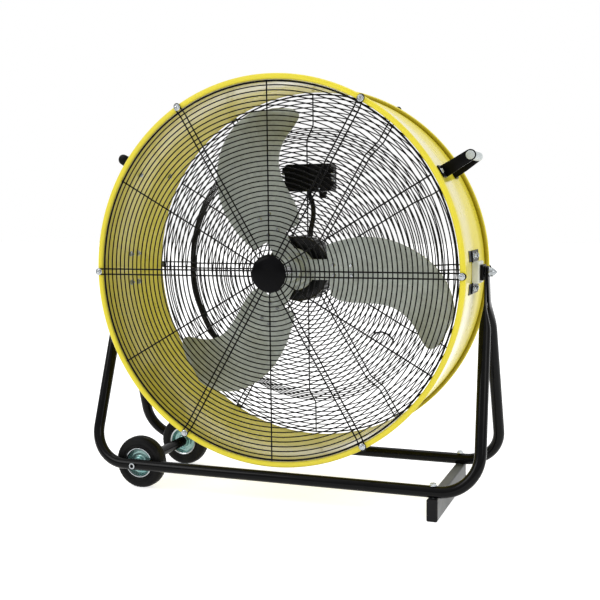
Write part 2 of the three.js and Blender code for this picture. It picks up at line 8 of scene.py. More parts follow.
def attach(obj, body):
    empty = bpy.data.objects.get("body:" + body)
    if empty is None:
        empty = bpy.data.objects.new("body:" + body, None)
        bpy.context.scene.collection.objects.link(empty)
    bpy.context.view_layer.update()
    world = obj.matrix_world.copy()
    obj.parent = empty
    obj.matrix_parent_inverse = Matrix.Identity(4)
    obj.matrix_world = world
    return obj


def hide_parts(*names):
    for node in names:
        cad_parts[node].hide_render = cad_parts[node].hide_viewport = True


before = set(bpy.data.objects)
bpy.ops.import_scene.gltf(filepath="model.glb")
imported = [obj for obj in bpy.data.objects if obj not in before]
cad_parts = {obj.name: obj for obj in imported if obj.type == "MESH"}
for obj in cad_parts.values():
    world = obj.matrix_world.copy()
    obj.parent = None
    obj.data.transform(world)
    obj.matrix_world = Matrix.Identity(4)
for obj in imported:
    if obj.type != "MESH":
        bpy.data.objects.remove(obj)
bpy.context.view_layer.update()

scene = bpy.context.scene

# ---------------------------------------------------------------------------- studio
# A pale floor that glows a little, under a white surround that is brightest behind and above
# the fan, with a large soft box on each side and one on top. The camera stands to the right
# of the fan's front, a little above the fan's axis. Angles are in degrees.

camera_place = (0.7896, -2.0660, 0.6437)
camera_turn = 20.509
camera_dip = 5.448
camera_roll = -0.654
camera = bpy.data.objects.new("camera", bpy.data.cameras.new("camera"))
camera.data.sensor_width = 36
camera.data.lens = 58.757
camera.data.clip_start = 0.05
camera.data.clip_end = 60
camera.matrix_world = (
    Matrix.Translation(camera_place)
    @ Matrix.Rotation(radians(camera_turn), 4, "Z")
    @ Matrix.Rotation(radians(90 - camera_dip), 4, "X")
    @ Matrix.Rotation(radians(camera_roll), 4, "Z")
)
scene.collection.objects.link(camera)
scene.camera = camera
scene.view_settings.view_transform = "Standard"
scene.view_settings.look = "None"


def node_of(tree, kind, **settings):
    node = tree.nodes.new(kind)
    for key, value in settings.items():
        setattr(node, key, value)
    return node


def mapped(tree, value, low, high, out_low=0.0, out_high=1.0, eased=True):
    """Map a value from low..high to out_low..out_high, by default eased at both ends."""
    node = node_of(tree, "ShaderNodeMapRange", interpolation_type="SMOOTHSTEP" if eased else "LINEAR")
    node.inputs["From Min"].default_value = low
    node.inputs["From Max"].default_value = high
    node.inputs["To Min"].default_value = out_low
    node.inputs["To Max"].default_value = out_high
    tree.links.new(value, node.inputs["Value"])
    return node.outputs["Result"]


def combined(tree, operation, first, second):
    """The sum or product of two values."""
    node = node_of(tree, "ShaderNodeMath", operation=operation)
    tree.links.new(first, node.inputs[0])
    tree.links.new(second, node.inputs[1])
    return node.outputs[0]


front_glow = 0.62
back_glow = 1.1
top_glow = 0.45
surround = bpy.data.worlds.new("studio_surround")
surround.use_nodes = True
scene.world = surround
air = surround.node_tree
air.nodes.clear()
way = node_of(air, "ShaderNodeTexCoord")
split = node_of(air, "ShaderNodeSeparateXYZ")
lit = node_of(air, "ShaderNodeBackground")
seen = node_of(air, "ShaderNodeBackground")
seen.inputs["Color"].default_value = (1, 1, 1, 1)
ray = node_of(air, "ShaderNodeLightPath")
either = node_of(air, "ShaderNodeMixShader")
shown = node_of(air, "ShaderNodeOutputWorld")
air.links.new(way.outputs["Generated"], split.inputs[0])
to_the_back = mapped(air, split.outputs["Y"], -0.75, 0.85, front_glow, back_glow)
to_the_top = mapped(air, split.outputs["Z"], 0, 1, 0, top_glow)
air.links.new(combined(air, "ADD", to_the_back, to_the_top), lit.inputs["Strength"])
air.links.new(ray.outputs["Is Camera Ray"], either.inputs["Fac"])
air.links.new(lit.outputs[0], either.inputs[1])
air.links.new(seen.outputs[0], either.inputs[2])
air.links.new(either.outputs[0], shown.inputs["Surface"])

for name, spot, aim, size, watts in (
    ("soft_box_left", (-2.3, -2.4, 2.5), (0, 0, 0.5), 1.9, 47),
    ("soft_box_right", (2.6, -1.5, 1.7), (0, 0, 0.5), 1.5, 17),
    ("soft_box_top", (0.1, 0.5, 3.1), (0, 0, 0.4), 2.4, 26),
):
    lamp = bpy.data.lights.new(name, "AREA")
    lamp.size = size
    lamp.energy = watts
    soft_box = bpy.data.objects.new(name, lamp)
    soft_box.location = spot
    soft_box.rotation_euler = (Vector(aim) - Vector(spot)).to_track_quat("-Z", "Y").to_euler()
    scene.collection.objects.link(soft_box)

floor_tone = 0.62
floor_glow = 0.74
pale_floor = bpy.data.materials.new("pale_floor")
pale_floor.use_nodes = True
floor_shader = pale_floor.node_tree.nodes["Principled BSDF"]
floor_shader.inputs["Base Color"].default_value = (floor_tone, floor_tone, floor_tone, 1)
floor_shader.inputs["Roughness"].default_value = 0.9
floor_shader.inputs["Specular IOR Level"].default_value = 0.1
floor_shader.inputs["Emission Color"].default_value = (1, 1, 1, 1)
floor_shader.inputs["Emission Strength"].default_value = floor_glow
floor_bm = bmesh.new()
bmesh.ops.create_grid(floor_bm, x_segments=4, y_segments=4, size=14)
floor_mesh = bpy.data.meshes.new("studio_floor")
floor_bm.to_mesh(floor_mesh)
floor_bm.free()
floor_mesh.materials.append(pale_floor)
studio_floor = bpy.data.objects.new("studio_floor", floor_mesh)
scene.collection.objects.link(studio_floor)

# ---------------------------------------------------------------------------- motor lead
# The lead from the floor of the terminal box to the motor runs in a black corrugated
# sleeve, 12 mm thick over its ridges. It hangs in one slack bend behind the blades.


def grain_group():
    """Fine skin of a finish: a height made of two sizes of soft noise."""
    group = bpy.data.node_groups.new("fine_skin", "ShaderNodeTree")
    group.interface.new_socket("Size", in_out="INPUT", socket_type="NodeSocketFloat")
    group.interface.new_socket("Height", in_out="OUTPUT", socket_type="NodeSocketFloat")
    start = node_of(group, "NodeGroupInput")
    end = node_of(group, "NodeGroupOutput")
    spot = node_of(group, "ShaderNodeTexCoord")
    coarse = node_of(group, "ShaderNodeTexNoise")
    fine = node_of(group, "ShaderNodeTexNoise")
    triple = node_of(group, "ShaderNodeMath", operation="MULTIPLY")
    triple.inputs[1].default_value = 3.1
    both = node_of(group, "ShaderNodeMath", operation="MULTIPLY_ADD")
    both.inputs[1].default_value = 0.4
    coarse.inputs["Detail"].default_value = 1.5
    fine.inputs["Detail"].default_value = 1.0
    link = group.links.new
    link(spot.outputs["Object"], coarse.inputs["Vector"])
    link(spot.outputs["Object"], fine.inputs["Vector"])
    link(start.outputs["Size"], coarse.inputs["Scale"])
    link(start.outputs["Size"], triple.inputs[0])
    link(triple.outputs[0], fine.inputs["Scale"])
    link(fine.outputs["Fac"], both.inputs[0])
    link(coarse.outputs["Fac"], both.inputs[2])
    link(both.outputs[0], end.inputs["Height"])
    return group


def handling_group():
    """Slow unevenness from handling and shop dust: 0 where clean, 1 where worn or dusty."""
    group = bpy.data.node_groups.new("handling_marks", "ShaderNodeTree")
    group.interface.new_socket("Spread", in_out="INPUT", socket_type="NodeSocketFloat")
    group.interface.new_socket("Marks", in_out="OUTPUT", socket_type="NodeSocketFloat")
    start = node_of(group, "NodeGroupInput")
    end = node_of(group, "NodeGroupOutput")
    spot = node_of(group, "ShaderNodeTexCoord")
    cloud = node_of(group, "ShaderNodeTexNoise")
    cloud.inputs["Detail"].default_value = 5
    cloud.inputs["Roughness"].default_value = 0.62
    link = group.links.new
    link(spot.outputs["Object"], cloud.inputs["Vector"])
    link(start.outputs["Spread"], cloud.inputs["Scale"])
    link(mapped(group, cloud.outputs["Fac"], 0.36, 0.68), end.inputs["Marks"])
    return group


fine_skin = grain_group()
handling_marks = handling_group()


def lay_finish(name, clean, marked, smooth, dull, skin, relief, spread=9, metal=0.0, gleam=0.5):
    """A finish whose colour and gloss drift with handling, over a fine skin of its own size.
    Colours are linear; skin is in grains per metre, relief in millimetres, gleam the specular level."""
    finish = bpy.data.materials.new(name)
    finish.use_nodes = True
    tree = finish.node_tree
    shader = tree.nodes["Principled BSDF"]
    shader.inputs["Metallic"].default_value = metal
    shader.inputs["Specular IOR Level"].default_value = gleam
    marks = node_of(tree, "ShaderNodeGroup", node_tree=handling_marks)
    marks.inputs["Spread"].default_value = spread
    tint = node_of(tree, "ShaderNodeMix", data_type="RGBA")
    tint.inputs["A"].default_value = (*clean, 1)
    tint.inputs["B"].default_value = (*marked, 1)
    surface = node_of(tree, "ShaderNodeGroup", node_tree=fine_skin)
    surface.inputs["Size"].default_value = skin
    bump = node_of(tree, "ShaderNodeBump")
    bump.inputs["Strength"].default_value = 0.6
    bump.inputs["Distance"].default_value = relief / 1000
    link = tree.links.new
    link(marks.outputs["Marks"], tint.inputs["Factor"])
    link(tint.outputs["Result"], shader.inputs["Base Color"])
    link(mapped(tree, marks.outputs["Marks"], 0, 1, smooth, dull, eased=False), shader.inputs["Roughness"])
    link(surface.outputs["Height"], bump.inputs["Height"])
    link(bump.outputs["Normal"], shader.inputs["Normal"])
    return finish


def new_piece(name, bm, finish, body, stands_for=(), crease=35):
    """Bring a shape made in millimetres into the scene as a piece of the fan."""
    bmesh.ops.scale(bm, vec=(0.001, 0.001, 0.001), verts=bm.verts)
    bmesh.ops.recalc_face_normals(bm, faces=bm.faces)
    mesh = bpy.data.meshes.new(name)
    bm.to_mesh(mesh)
    bm.free()
    mesh.shade_smooth()
    mesh.set_sharp_from_angle(angle=radians(crease))
    mesh.materials.append(finish)
    piece = bpy.data.objects.new(name, mesh)
    scene.collection.objects.link(piece)
    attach(piece, body)
    if stands_for:
        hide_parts(*stands_for)
    return piece


def along(points, side, sizes):
    """Frames that follow a line of points; side is kept as level as the line allows."""
    frames = []
    for i, (spot, size) in enumerate(zip(points, sizes)):
        ahead = (points[min(i + 1, len(points) - 1)] - points[max(i - 1, 0)]).normalized()
        side = (side - ahead * side.dot(ahead)).normalized()
        turn = Matrix((side, ahead.cross(side), ahead)).transposed().to_4x4()
        frames.append(Matrix.Translation(spot) @ turn @ Matrix.Diagonal((size, size, size, 1)))
    return frames


def drawn_through(bm, frames, sides):
    """A round section pulled through the frames and closed. Gives back its rings of corners."""
    ring = bmesh.ops.create_circle(bm, segments=sides, radius=1, matrix=frames[0])["verts"]
    edges = list({edge for corner in ring for edge in corner.link_edges})
    rings = [ring]
    first = edges
    for before, after in zip(frames, frames[1:]):
        grown = bmesh.ops.extrude_edge_only(bm, edges=edges)["geom"]
        ring = [p for p in grown if isinstance(p, bmesh.types.BMVert)]
        fresh = set(ring)
        edges = [p for p in grown if isinstance(p, bmesh.types.BMEdge) and fresh.issuperset(p.verts)]
        bmesh.ops.transform(bm, matrix=after @ before.inverted(), verts=ring)
        rings.append(ring)
    for rim in (first, edges):
        bmesh.ops.edgeloop_fill(bm, edges=rim)
    return rings


def smooth_route(stops, steps):
    """A line through the stops with even curvature between them."""
    line = []
    for i in range(len(stops) - 1):
        p0, p1, p2, p3 = stops[max(i - 1, 0)], stops[i], stops[i + 1], stops[min(i + 2, len(stops) - 1)]
        for k in range(steps):
            t = k / steps
            line.append(0.5 * (
                2 * p1 + (p2 - p0) * t + (2 * p0 - 5 * p1 + 4 * p2 - p3) * t * t
                + (3 * p1 - p0 - 3 * p2 + p3) * t ** 3
            ))
    return line + [stops[-1]]


sleeve_black = lay_finish(
    "sleeve_black", (0.008, 0.008, 0.009), (0.012, 0.012, 0.012), 0.3, 0.45, 700, 0.01, gleam=0.12)
sleeve_ridge = 5.9
sleeve_groove = 5.4
lead_stops = [Vector(stop) for stop in (
    (-1.5, 121, 678.4), (-1.5, 121, 670), (9, 112, 651), (16.5, 97, 633),
    (21.5, 80, 615), (21.5, 69, 598), (21, 66, 588), (20.5, 66, 575),
)]
lead_line = smooth_route(lead_stops, 12)
lead_bm = bmesh.new()
sleeve_radii = [sleeve_ridge if i % 2 else sleeve_groove for i in range(len(lead_line))]
drawn_through(lead_bm, along(lead_line, Vector((1, 0, 0)), sleeve_radii), 16)
motor_lead = new_piece(
    "motor_lead", lead_bm, sleeve_black, "drum", ["motor_conduit"], crease=60)

# ---------------------------------------------------------------------------- stand tubes
# Two 25 mm steel tubes, each bent cold to a U and pressed flat at both tops, where the
# pivot bolt goes through them. The front one lies inside the rear one. Gloss black coat.

tube_black = lay_finish(
    "tube_black", (0.0016, 0.0017, 0.0019), (0.0028, 0.0028, 0.003), 0.12, 0.18, 420, 0.003, gleam=0.11)
axis_height = 502        # the tilt axis above the floor
tube_radius = 12.5
track_half = 140         # half the way between the two bottom tubes
corner_x = 449           # where bottom and leg would meet without the bend
bottom_height = 60
bend_radius = 80
legs_meet = 30           # below the tilt axis
flat_half = 2
flat_starts = 128        # below the tilt axis, along the leg
flat_reached = 64
eye_square = 165         # square of the tip's radius about the axis
climb = axis_height - bottom_height
leg_lean = atan2(track_half, climb - legs_meet)
leg_length = track_half * sin(leg_lean) + climb * cos(leg_lean)
pivot_shift = track_half * cos(leg_lean) - climb * sin(leg_lean)


def tube_stations(top_x):
    """From the middle of the bottom to the top of the right leg. A station has its place
    across, its place up the leg, its turn, half thickness, half width, and the shift that
    brings the flat top back to the tilt axis."""
    leg = Vector((top_x - corner_x, leg_length)).normalized()
    sweep = atan2(leg.y, leg.x)
    bend_starts = corner_x - bend_radius * tan(sweep / 2)
    stations = [(bend_starts * k / 4, 0, 0, tube_radius, tube_radius, 0) for k in range(4)]
    for k in range(17):
        turn = sweep * k / 16
        across = bend_starts + bend_radius * sin(turn)
        stations.append((across, bend_radius * (1 - cos(turn)), turn, tube_radius, tube_radius, 0))
    for below in (270, 190, 128, 121, 114, 107, 100, 93, 86, 79, 72, 64, 54, 36, 18, 3, -4, -8, -11, -12.7):
        flat = min(max((flat_starts - below) / (flat_starts - flat_reached), 0), 1)
        thin = tube_radius - (tube_radius - flat_half) * flat * flat * (3 - 2 * flat)
        wide = tube_radius + 1.3 * sin(pi * flat) if below > 0 else (eye_square - below * below) ** 0.5
        shift = pivot_shift * (1 - min(below / flat_reached, 1))
        across = top_x - below * leg.x
        stations.append((across, leg_length - below * leg.y, sweep, thin, max(wide, thin + 0.4), shift))
    return stations


def u_tube(name, top_x, side, node):
    """One bent tube: round rings are drawn through the stations, then widened where it is flat."""
    foot = Matrix.Translation((0, side * track_half, bottom_height))
    plane = foot @ Matrix.Rotation(side * leg_lean, 4, "X")
    right = tube_stations(top_x)
    left = [(-x, s, -turn, thin, wide, shift) for x, s, turn, thin, wide, shift in reversed(right[1:])]
    stations = left + right
    frames = []
    for x, s, turn, thin, wide, shift in stations:
        inward = Vector((-sin(turn), 0, cos(turn)))
        across = Vector((0, 1, 0))
        face = Matrix((inward, across, inward.cross(across))).transposed().to_4x4()
        middle = Matrix.Translation((x, -side * shift, s))
        frames.append(plane @ middle @ face @ Matrix.Diagonal((thin, thin, thin, 1)))
    bm = bmesh.new()
    rings = drawn_through(bm, frames, 32)
    level = plane.to_3x3() @ Vector((0, 1, 0))
    for (_, _, _, thin, wide, _), place, ring in zip(stations, frames, rings):
        back = place.inverted()
        for half in (1, -1):
            moved = [corner for corner in ring if half * (back @ corner.co).y > 0.02]
            bmesh.ops.translate(bm, verts=moved, vec=level * half * (wide - thin))
    new_piece(name, bm, tube_black, "stand", [node], crease=50)


u_tube("stand_tube_front", 436, -1, "front_u_tube")
u_tube("stand_tube_rear", 440.3, 1, "rear_u_tube")

# ---------------------------------------------------------------------------- foot bar
# A rectangular steel tube with rounded corners lies across both bottom tubes from below.
# Black push-in caps close its ends, and a flanged bolt through each tube holds it.

foot_grey = lay_finish(
    "foot_grey", (0.062, 0.067, 0.068), (0.082, 0.086, 0.086), 0.34, 0.5, 500, 0.008, gleam=0.3)
cap_black = lay_finish(
    "cap_black", (0.004, 0.004, 0.0045), (0.008, 0.008, 0.008), 0.38, 0.5, 1500, 0.01, gleam=0.15)
bright_zinc = lay_finish(
    "bright_zinc", (0.46, 0.49, 0.51), (0.34, 0.36, 0.37), 0.14, 0.3, 1200, 0.006, spread=60, metal=1.0)


def cuboid(bm, low, high):
    """A block between its lowest and highest corner; gives back its corners."""
    low, high = Vector(low), Vector(high)
    size = high - low
    place = Matrix.Translation((low + high) / 2) @ Matrix.Diagonal((*size, 1))
    return bmesh.ops.create_cube(bm, size=1, matrix=place)["verts"]


def ease(bm, edges, width, steps=2):
    """Round the edges off."""
    bmesh.ops.bevel(
        bm, geom=edges, offset=width, offset_type="OFFSET", segments=steps, profile=0.5,
        affect="EDGES", material=-1, clamp_overlap=True)


def sharp_edges(bm, angle=30):
    return [edge for edge in bm.edges if edge.is_manifold and edge.calc_face_angle(0) > radians(angle)]


def joined(bm, part):
    """Put a finished part into a larger shape; gives back its corners there."""
    count = len(bm.verts)
    carrier = bpy.data.meshes.new("carrier")
    part.to_mesh(carrier)
    part.free()
    bm.from_mesh(carrier)
    bpy.data.meshes.remove(carrier)
    return bm.verts[:][count:]


def spun(bm, outline, steps, place=Matrix(), loop=False):
    """Turn an outline of (radius, height) about Z, then put it in its place."""
    part = bmesh.new()
    line = [part.verts.new((r, 0, h)) for r, h in outline]
    edges = [part.edges.new(pair) for pair in zip(line, line[1:])]
    if loop:
        edges.append(part.edges.new((line[-1], line[0])))
    bmesh.ops.spin(
        part, geom=line + edges, cent=(0, 0, 0), axis=(0, 0, 1), angle=2 * pi, steps=steps,
        use_merge=True, use_duplicate=False)
    if min(abs(r) for r, _ in outline) < 0.01:
        bmesh.ops.remove_doubles(part, verts=part.verts, dist=0.0005)
    bmesh.ops.transform(part, matrix=place, verts=part.verts)
    return joined(bm, part)


def hexagon(bm, flats, low, high, place=Matrix()):
    """A hexagon bar end with its outer corners turned off."""
    part = bmesh.new()
    radius = flats / 2 / cos(pi / 6)
    bmesh.ops.create_cone(
        part, cap_ends=True, segments=6, radius1=radius, radius2=radius, depth=high - low,
        matrix=Matrix.Translation((0, 0, (low + high) / 2)))
    ease(part, [e for e in part.edges if min(v.co.z for v in e.verts) > high - 0.01], flats * 0.06, 1)
    bmesh.ops.transform(part, matrix=place, verts=part.verts)
    return joined(bm, part)


def flanged_bolt(bm, place, flange, flats, head, shank, reach):
    """Head above the seat (local Z = 0), shank below it. A low boss marks the head's top."""
    spun(bm, [
        (0, -reach), (shank * 0.8, -reach), (shank, -reach + 1), (shank, 0), (flange, 0),
        (flange + 0.3, 0.5), (flange, 1), (flats * 0.56, 1.9), (0, 1.9),
    ], 28, place)
    top = 1.6 + head
    hexagon(bm, flats, 1.6, top, place)
    boss = [(0, top + 0.01), (flats * 0.3, top + 0.01), (flats * 0.36, 1.3 + head), (0, 1.3 + head)]
    spun(bm, boss, 18, place)


foot_middle = 355
foot_top = 47.2
foot_bm = bmesh.new()
cuboid(foot_bm, (foot_middle - 11, -146, 0), (foot_middle + 11, 146, foot_top))
lengthwise = [e for e in foot_bm.edges if abs(e.verts[0].co.y - e.verts[1].co.y) > 200]
ease(foot_bm, lengthwise, 3.2, 4)
bmesh.ops.delete(foot_bm, geom=[f for f in foot_bm.faces if abs(f.normal.y) > 0.9], context="FACES")
bmesh.ops.subdivide_edges(foot_bm, edges=[e for e in foot_bm.edges if e.calc_length() > 200], cuts=8)
bmesh.ops.recalc_face_normals(foot_bm, faces=foot_bm.faces)
bmesh.ops.solidify(foot_bm, geom=foot_bm.faces[:], thickness=2)
new_piece("foot_rail", foot_bm, foot_grey, "stand", ["foot_bar"])

for where, side in (("front", -1), ("rear", 1)):
    cap_bm = bmesh.new()
    ends = sorted((side * 146.2, side * 152.8))
    cuboid(cap_bm, (foot_middle - 11.4, ends[0], 0), (foot_middle + 11.4, ends[1], foot_top + 0.1))
    outer = [e for e in cap_bm.edges if abs(e.verts[0].co.y - e.verts[1].co.y) > 2]
    ease(cap_bm, outer, 3.4, 4)
    ease(cap_bm, [e for e in sharp_edges(cap_bm) if all(side * v.co.y > 152 for v in e.verts)], 1.6, 3)
    plug = sorted((side * 134, side * 146.4))
    cuboid(cap_bm, (foot_middle - 8.6, plug[0], 2.4), (foot_middle + 8.6, plug[1], foot_top - 2.4))
    new_piece(f"foot_plug_{where}", cap_bm, cap_black, "stand", [f"foot_cap_{where}"])
    bolt_bm = bmesh.new()
    on_tube = Matrix.Translation((foot_middle, side * track_half, bottom_height + tube_radius + 0.1))
    flanged_bolt(bolt_bm, on_tube, 8, 12, 4, 4, 34)
    new_piece(f"rail_bolt_{where}", bolt_bm, bright_zinc, "stand", [f"foot_bolt_{where}"])

# ---------------------------------------------------------------------------- axle
# A 10 mm bright rod through both bottom tubes, with a round socket head in front and a
# hexagon lock nut behind. A black tube between the wheels keeps them apart.

axle_x = -338
axle_line = Matrix.Translation((axle_x, 0, bottom_height))
to_back = Matrix.Rotation(-pi / 2, 4, "X")
to_front = Matrix.Rotation(pi / 2, 4, "X")

axle_bm = bmesh.new()
spun(axle_bm, [
    (0, -150), (4.3, -150), (4.3, -157.8), (4.7, -158.2), (6.2, -158.4), (7, -157.6), (7, -152.9),
    (5, -152.9), (5, 156.5), (4, 158), (0, 158),
], 32, axle_line @ to_back)
new_piece("axle_rod", axle_bm, bright_zinc, "stand", ["axle"])

nut_bm = bmesh.new()
hexagon(nut_bm, 15.5, 153.4, 157.2, axle_line @ to_back)
spun(nut_bm, [(5.2, 152.8), (8.6, 152.8), (8.6, 153.6), (5.2, 153.6)], 28, axle_line @ to_back, loop=True)
new_piece("axle_lock_nut", nut_bm, bright_zinc, "stand", ["axle_nut"])

spacer_bm = bmesh.new()
spun(spacer_bm, [
    (5.4, -93.6), (11.4, -93.6), (12, -93), (12, -88), (11.7, -87),
    (11.7, 87), (12, 88), (12, 93), (11.4, 93.6), (5.4, 93.6),
], 32, axle_line @ to_back, loop=True)
new_piece("axle_spacer_tube", spacer_bm, tube_black, "stand", ["axle_spacer"])

# ---------------------------------------------------------------------------- wheels
# A solid rubber tyre of 120 mm on a centre pressed from two steel discs and plated blue
# green. The lip beside the tyre is bright, and four dimples mark each disc.

tyre_rubber = lay_finish(
    "tyre_rubber", (0.0032, 0.0032, 0.0035), (0.009, 0.009, 0.0085), 0.42, 0.6, 900, 0.03,
    spread=22, gleam=0.1)
plated_teal = lay_finish(
    "plated_teal", (0.17, 0.34, 0.33), (0.31, 0.47, 0.45), 0.2, 0.34, 800, 0.008, spread=40, metal=0.75)

tyre_side = [
    (34.4, 0), (34.4, -12.6), (36, -14), (39, -14.6), (40.2, -13.9), (41.4, -14.9), (45, -15.6),
    (49, -15.8), (52.4, -15.4), (53.4, -14.4), (54.4, -14.8), (56.6, -13.4), (58.6, -10.8), (59.7, -7.6),
    (60, -4.6), (59.6, -3.8), (59.6, -2.9), (60, -2.1), (60, 0),
]
disc_side = [
    (7.2, -16.4), (11.6, -16.4), (13, -15.4), (13.6, -10.5), (15.2, -8.2), (17.5, -7.4), (20.5, -8.8),
    (24.5, -9), (27.4, -6.8), (29.4, -6.6), (30.4, -8.2), (30.6, -10), (31.2, -10), (31.2, 0),
]
lip_side = [
    (31.3, 0), (31.3, -10), (30.6, -12.6), (30.9, -14.2), (32.4, -15.2), (34, -15), (34.2, -13.6),
    (34.2, 0),
]
tread_steps = 96
for where, y, body in (("front", -110.5, "wheel_front"), ("rear", 110.5, "wheel_rear")):
    hub_line = Matrix.Translation((axle_x, y, bottom_height)) @ to_back
    tyre_bm = bmesh.new()
    tyre_outline = tyre_side + [(r, -h) for r, h in reversed(tyre_side[1:-1])]
    rubber = spun(tyre_bm, tyre_outline, tread_steps, loop=True)
    for corner in rubber:
        reach = hypot(corner.co.x, corner.co.y)
        place = round(atan2(corner.co.y, corner.co.x) / (2 * pi / tread_steps))
        if 54 < reach < 59.9 and abs(corner.co.z) > 7 and place % 2:
            corner.co.xy *= (reach - 0.55) / reach
    bmesh.ops.transform(tyre_bm, matrix=hub_line, verts=tyre_bm.verts)
    new_piece(f"rubber_tyre_{where}", tyre_bm, tyre_rubber, body, [f"tyre_{where}"],
              crease=60)
    disc_bm = bmesh.new()
    spun(disc_bm, disc_side + [(r, -h) for r, h in reversed(disc_side[:-1])], 64, hub_line, loop=True)
    for k in range(4):
        turn = Matrix.Rotation(pi / 4 + k * pi / 2, 4, "Z")
        for face in (1, -1):
            spun(disc_bm, [(0, 8.9), (1.6, 8.9), (2.3, 8.2), (2.4, 6.9)], 14,
                 hub_line @ turn @ Matrix.Translation((22.5, 0, 0)) @ Matrix.Diagonal((1, 1, face, 1)))
    lip_bm = bmesh.new()
    spun(lip_bm, lip_side + [(r, -h) for r, h in reversed(lip_side[1:-1])], 72, hub_line, loop=True)
    new_piece(f"wheel_lip_{where}", lip_bm, bright_zinc, body)
    new_piece(f"pressed_centre_{where}", disc_bm, plated_teal, body, [f"wheel_rim_{where}"],
              crease=45)

# ---------------------------------------------------------------------------- drum
# The housing is one steel band, rolled to a ring of 840 mm. Both edges are rolled outward
# over a wire, which stiffens them, with a shallow groove beside each. Yellow powder coat
# inside and out. A stronger coat on a strip round the middle is a painted reflection, and a
# darker yellow towards each groove is painted shade.

drum_yellow = lay_finish(
    "drum_yellow", (0.66, 0.565, 0.035), (0.62, 0.53, 0.04), 0.26, 0.36, 320, 0.002, spread=5, gleam=0.22)
# The darkest colour in the groove beside each rolled edge: painted shade.
groove_shade_yellow = (0.33, 0.26, 0.005)
axis = Matrix.Translation((0, 0, axis_height))
drum_line = axis @ to_back
band_outside = 411
band_inside = 408.4
bead_middle = 414
bead_y = 139
bead_radius = 6

bead_turns = [radians(t) for t in range(180, -136, -15)]
rolled_edge = [(bead_middle + bead_radius * cos(t), bead_y + bead_radius * sin(t)) for t in bead_turns]
inner_side = [(band_inside, 0), (band_inside, 70), (band_inside, 131), (408.3, 134.5)]
groove = [(409.6, 132.9), (409.7, 131.4), (band_outside, 128)]
half_band = inner_side + rolled_edge + groove + [(band_outside, 70), (band_outside, 0)]
wall_line = half_band + [(r, -y) for r, y in reversed(half_band[1:-1])]
drum_bm = bmesh.new()
spun(drum_bm, wall_line, 240, drum_line, loop=True)


def painted_reflection_strip_group():
    """Painted reflection: 1 on a strip round the middle of the band, with soft edges in front and behind.
    """
    group = bpy.data.node_groups.new("painted_reflection_strip", "ShaderNodeTree")
    group.interface.new_socket("Painted Reflection", in_out="OUTPUT", socket_type="NodeSocketFloat")
    end = node_of(group, "NodeGroupOutput")
    spot = node_of(group, "ShaderNodeTexCoord")
    split = node_of(group, "ShaderNodeSeparateXYZ")
    group.links.new(spot.outputs["Object"], split.inputs[0])
    front_fade = mapped(group, split.outputs["Y"], -0.11, -0.06)
    rear_fade = mapped(group, split.outputs["Y"], 0.03, -0.045)
    group.links.new(combined(group, "MULTIPLY", front_fade, rear_fade), end.inputs["Painted Reflection"])
    return group


def painted_groove_shade_group():
    """Painted shade: turns a clean colour darker towards the groove beside each rolled edge, outside only.
    """
    group = bpy.data.node_groups.new("painted_groove_shade", "ShaderNodeTree")
    group.interface.new_socket("Clean", in_out="INPUT", socket_type="NodeSocketColor")
    group.interface.new_socket("Color", in_out="OUTPUT", socket_type="NodeSocketColor")
    start = node_of(group, "NodeGroupInput")
    end = node_of(group, "NodeGroupOutput")
    spot = node_of(group, "ShaderNodeTexCoord")
    split = node_of(group, "ShaderNodeSeparateXYZ")
    beside = node_of(group, "ShaderNodeMath", operation="ABSOLUTE")
    from_axis = node_of(group, "ShaderNodeVectorMath", operation="MULTIPLY_ADD")
    from_axis.inputs[1].default_value = (1, 0, 1)
    from_axis.inputs[2].default_value = (0, 0, -axis_height / 1000)
    radius = node_of(group, "ShaderNodeVectorMath", operation="LENGTH")
    darker = node_of(group, "ShaderNodeMix", data_type="RGBA")
    darker.inputs["B"].default_value = (*groove_shade_yellow, 1)
    link = group.links.new
    link(spot.outputs["Object"], split.inputs[0])
    link(split.outputs["Y"], beside.inputs[0])
    link(spot.outputs["Object"], from_axis.inputs[0])
    link(from_axis.outputs[0], radius.inputs[0])
    deepens = mapped(group, beside.outputs[0], 0.118, 0.131)
    stops = mapped(group, beside.outputs[0], 0.1362, 0.1336)
    outside = mapped(group, radius.outputs["Value"], 0.4088, 0.4093, eased=False)
    groove_shade_mask = combined(group, "MULTIPLY", deepens, stops)
    link(combined(group, "MULTIPLY", groove_shade_mask, outside), darker.inputs["Factor"])
    link(start.outputs["Clean"], darker.inputs["A"])
    link(darker.outputs["Result"], end.inputs["Color"])
    return group


def colour_through(finish, entry, leave):
    """Lead a finish's colour through one more node, in at one socket and out at another."""
    tree = finish.node_tree
    colour = tree.nodes["Principled BSDF"].inputs["Base Color"]
    tree.links.new(colour.links[0].from_socket, entry)
    tree.links.new(leave, colour)


yellow_tree = drum_yellow.node_tree
yellow_shader = yellow_tree.nodes["Principled BSDF"]
yellow_shader.inputs["Coat Roughness"].default_value = 0.12
# A stronger coat on a strip round the middle of the band is a painted reflection.
painted_reflection = node_of(yellow_tree, "ShaderNodeGroup", node_tree=painted_reflection_strip_group())
yellow_tree.links.new(painted_reflection.outputs["Painted Reflection"], yellow_shader.inputs["Coat Weight"])
# A darker yellow towards the groove beside each rolled edge is painted shade.
groove_shade_node = node_of(yellow_tree, "ShaderNodeGroup", node_tree=painted_groove_shade_group())
colour_through(drum_yellow, groove_shade_node.inputs["Clean"], groove_shade_node.outputs["Color"])
new_piece("rolled_drum", drum_bm, drum_yellow, "drum", ["drum_shell"], crease=40)

# ---------------------------------------------------------------------------- front guard
# Concentric wire rings are welded behind twelve spokes. Every second spoke is one wire
# bent to a hairpin: its two legs run side by side and its loop goes over the rim, round
# the bolt. Black dip coat.

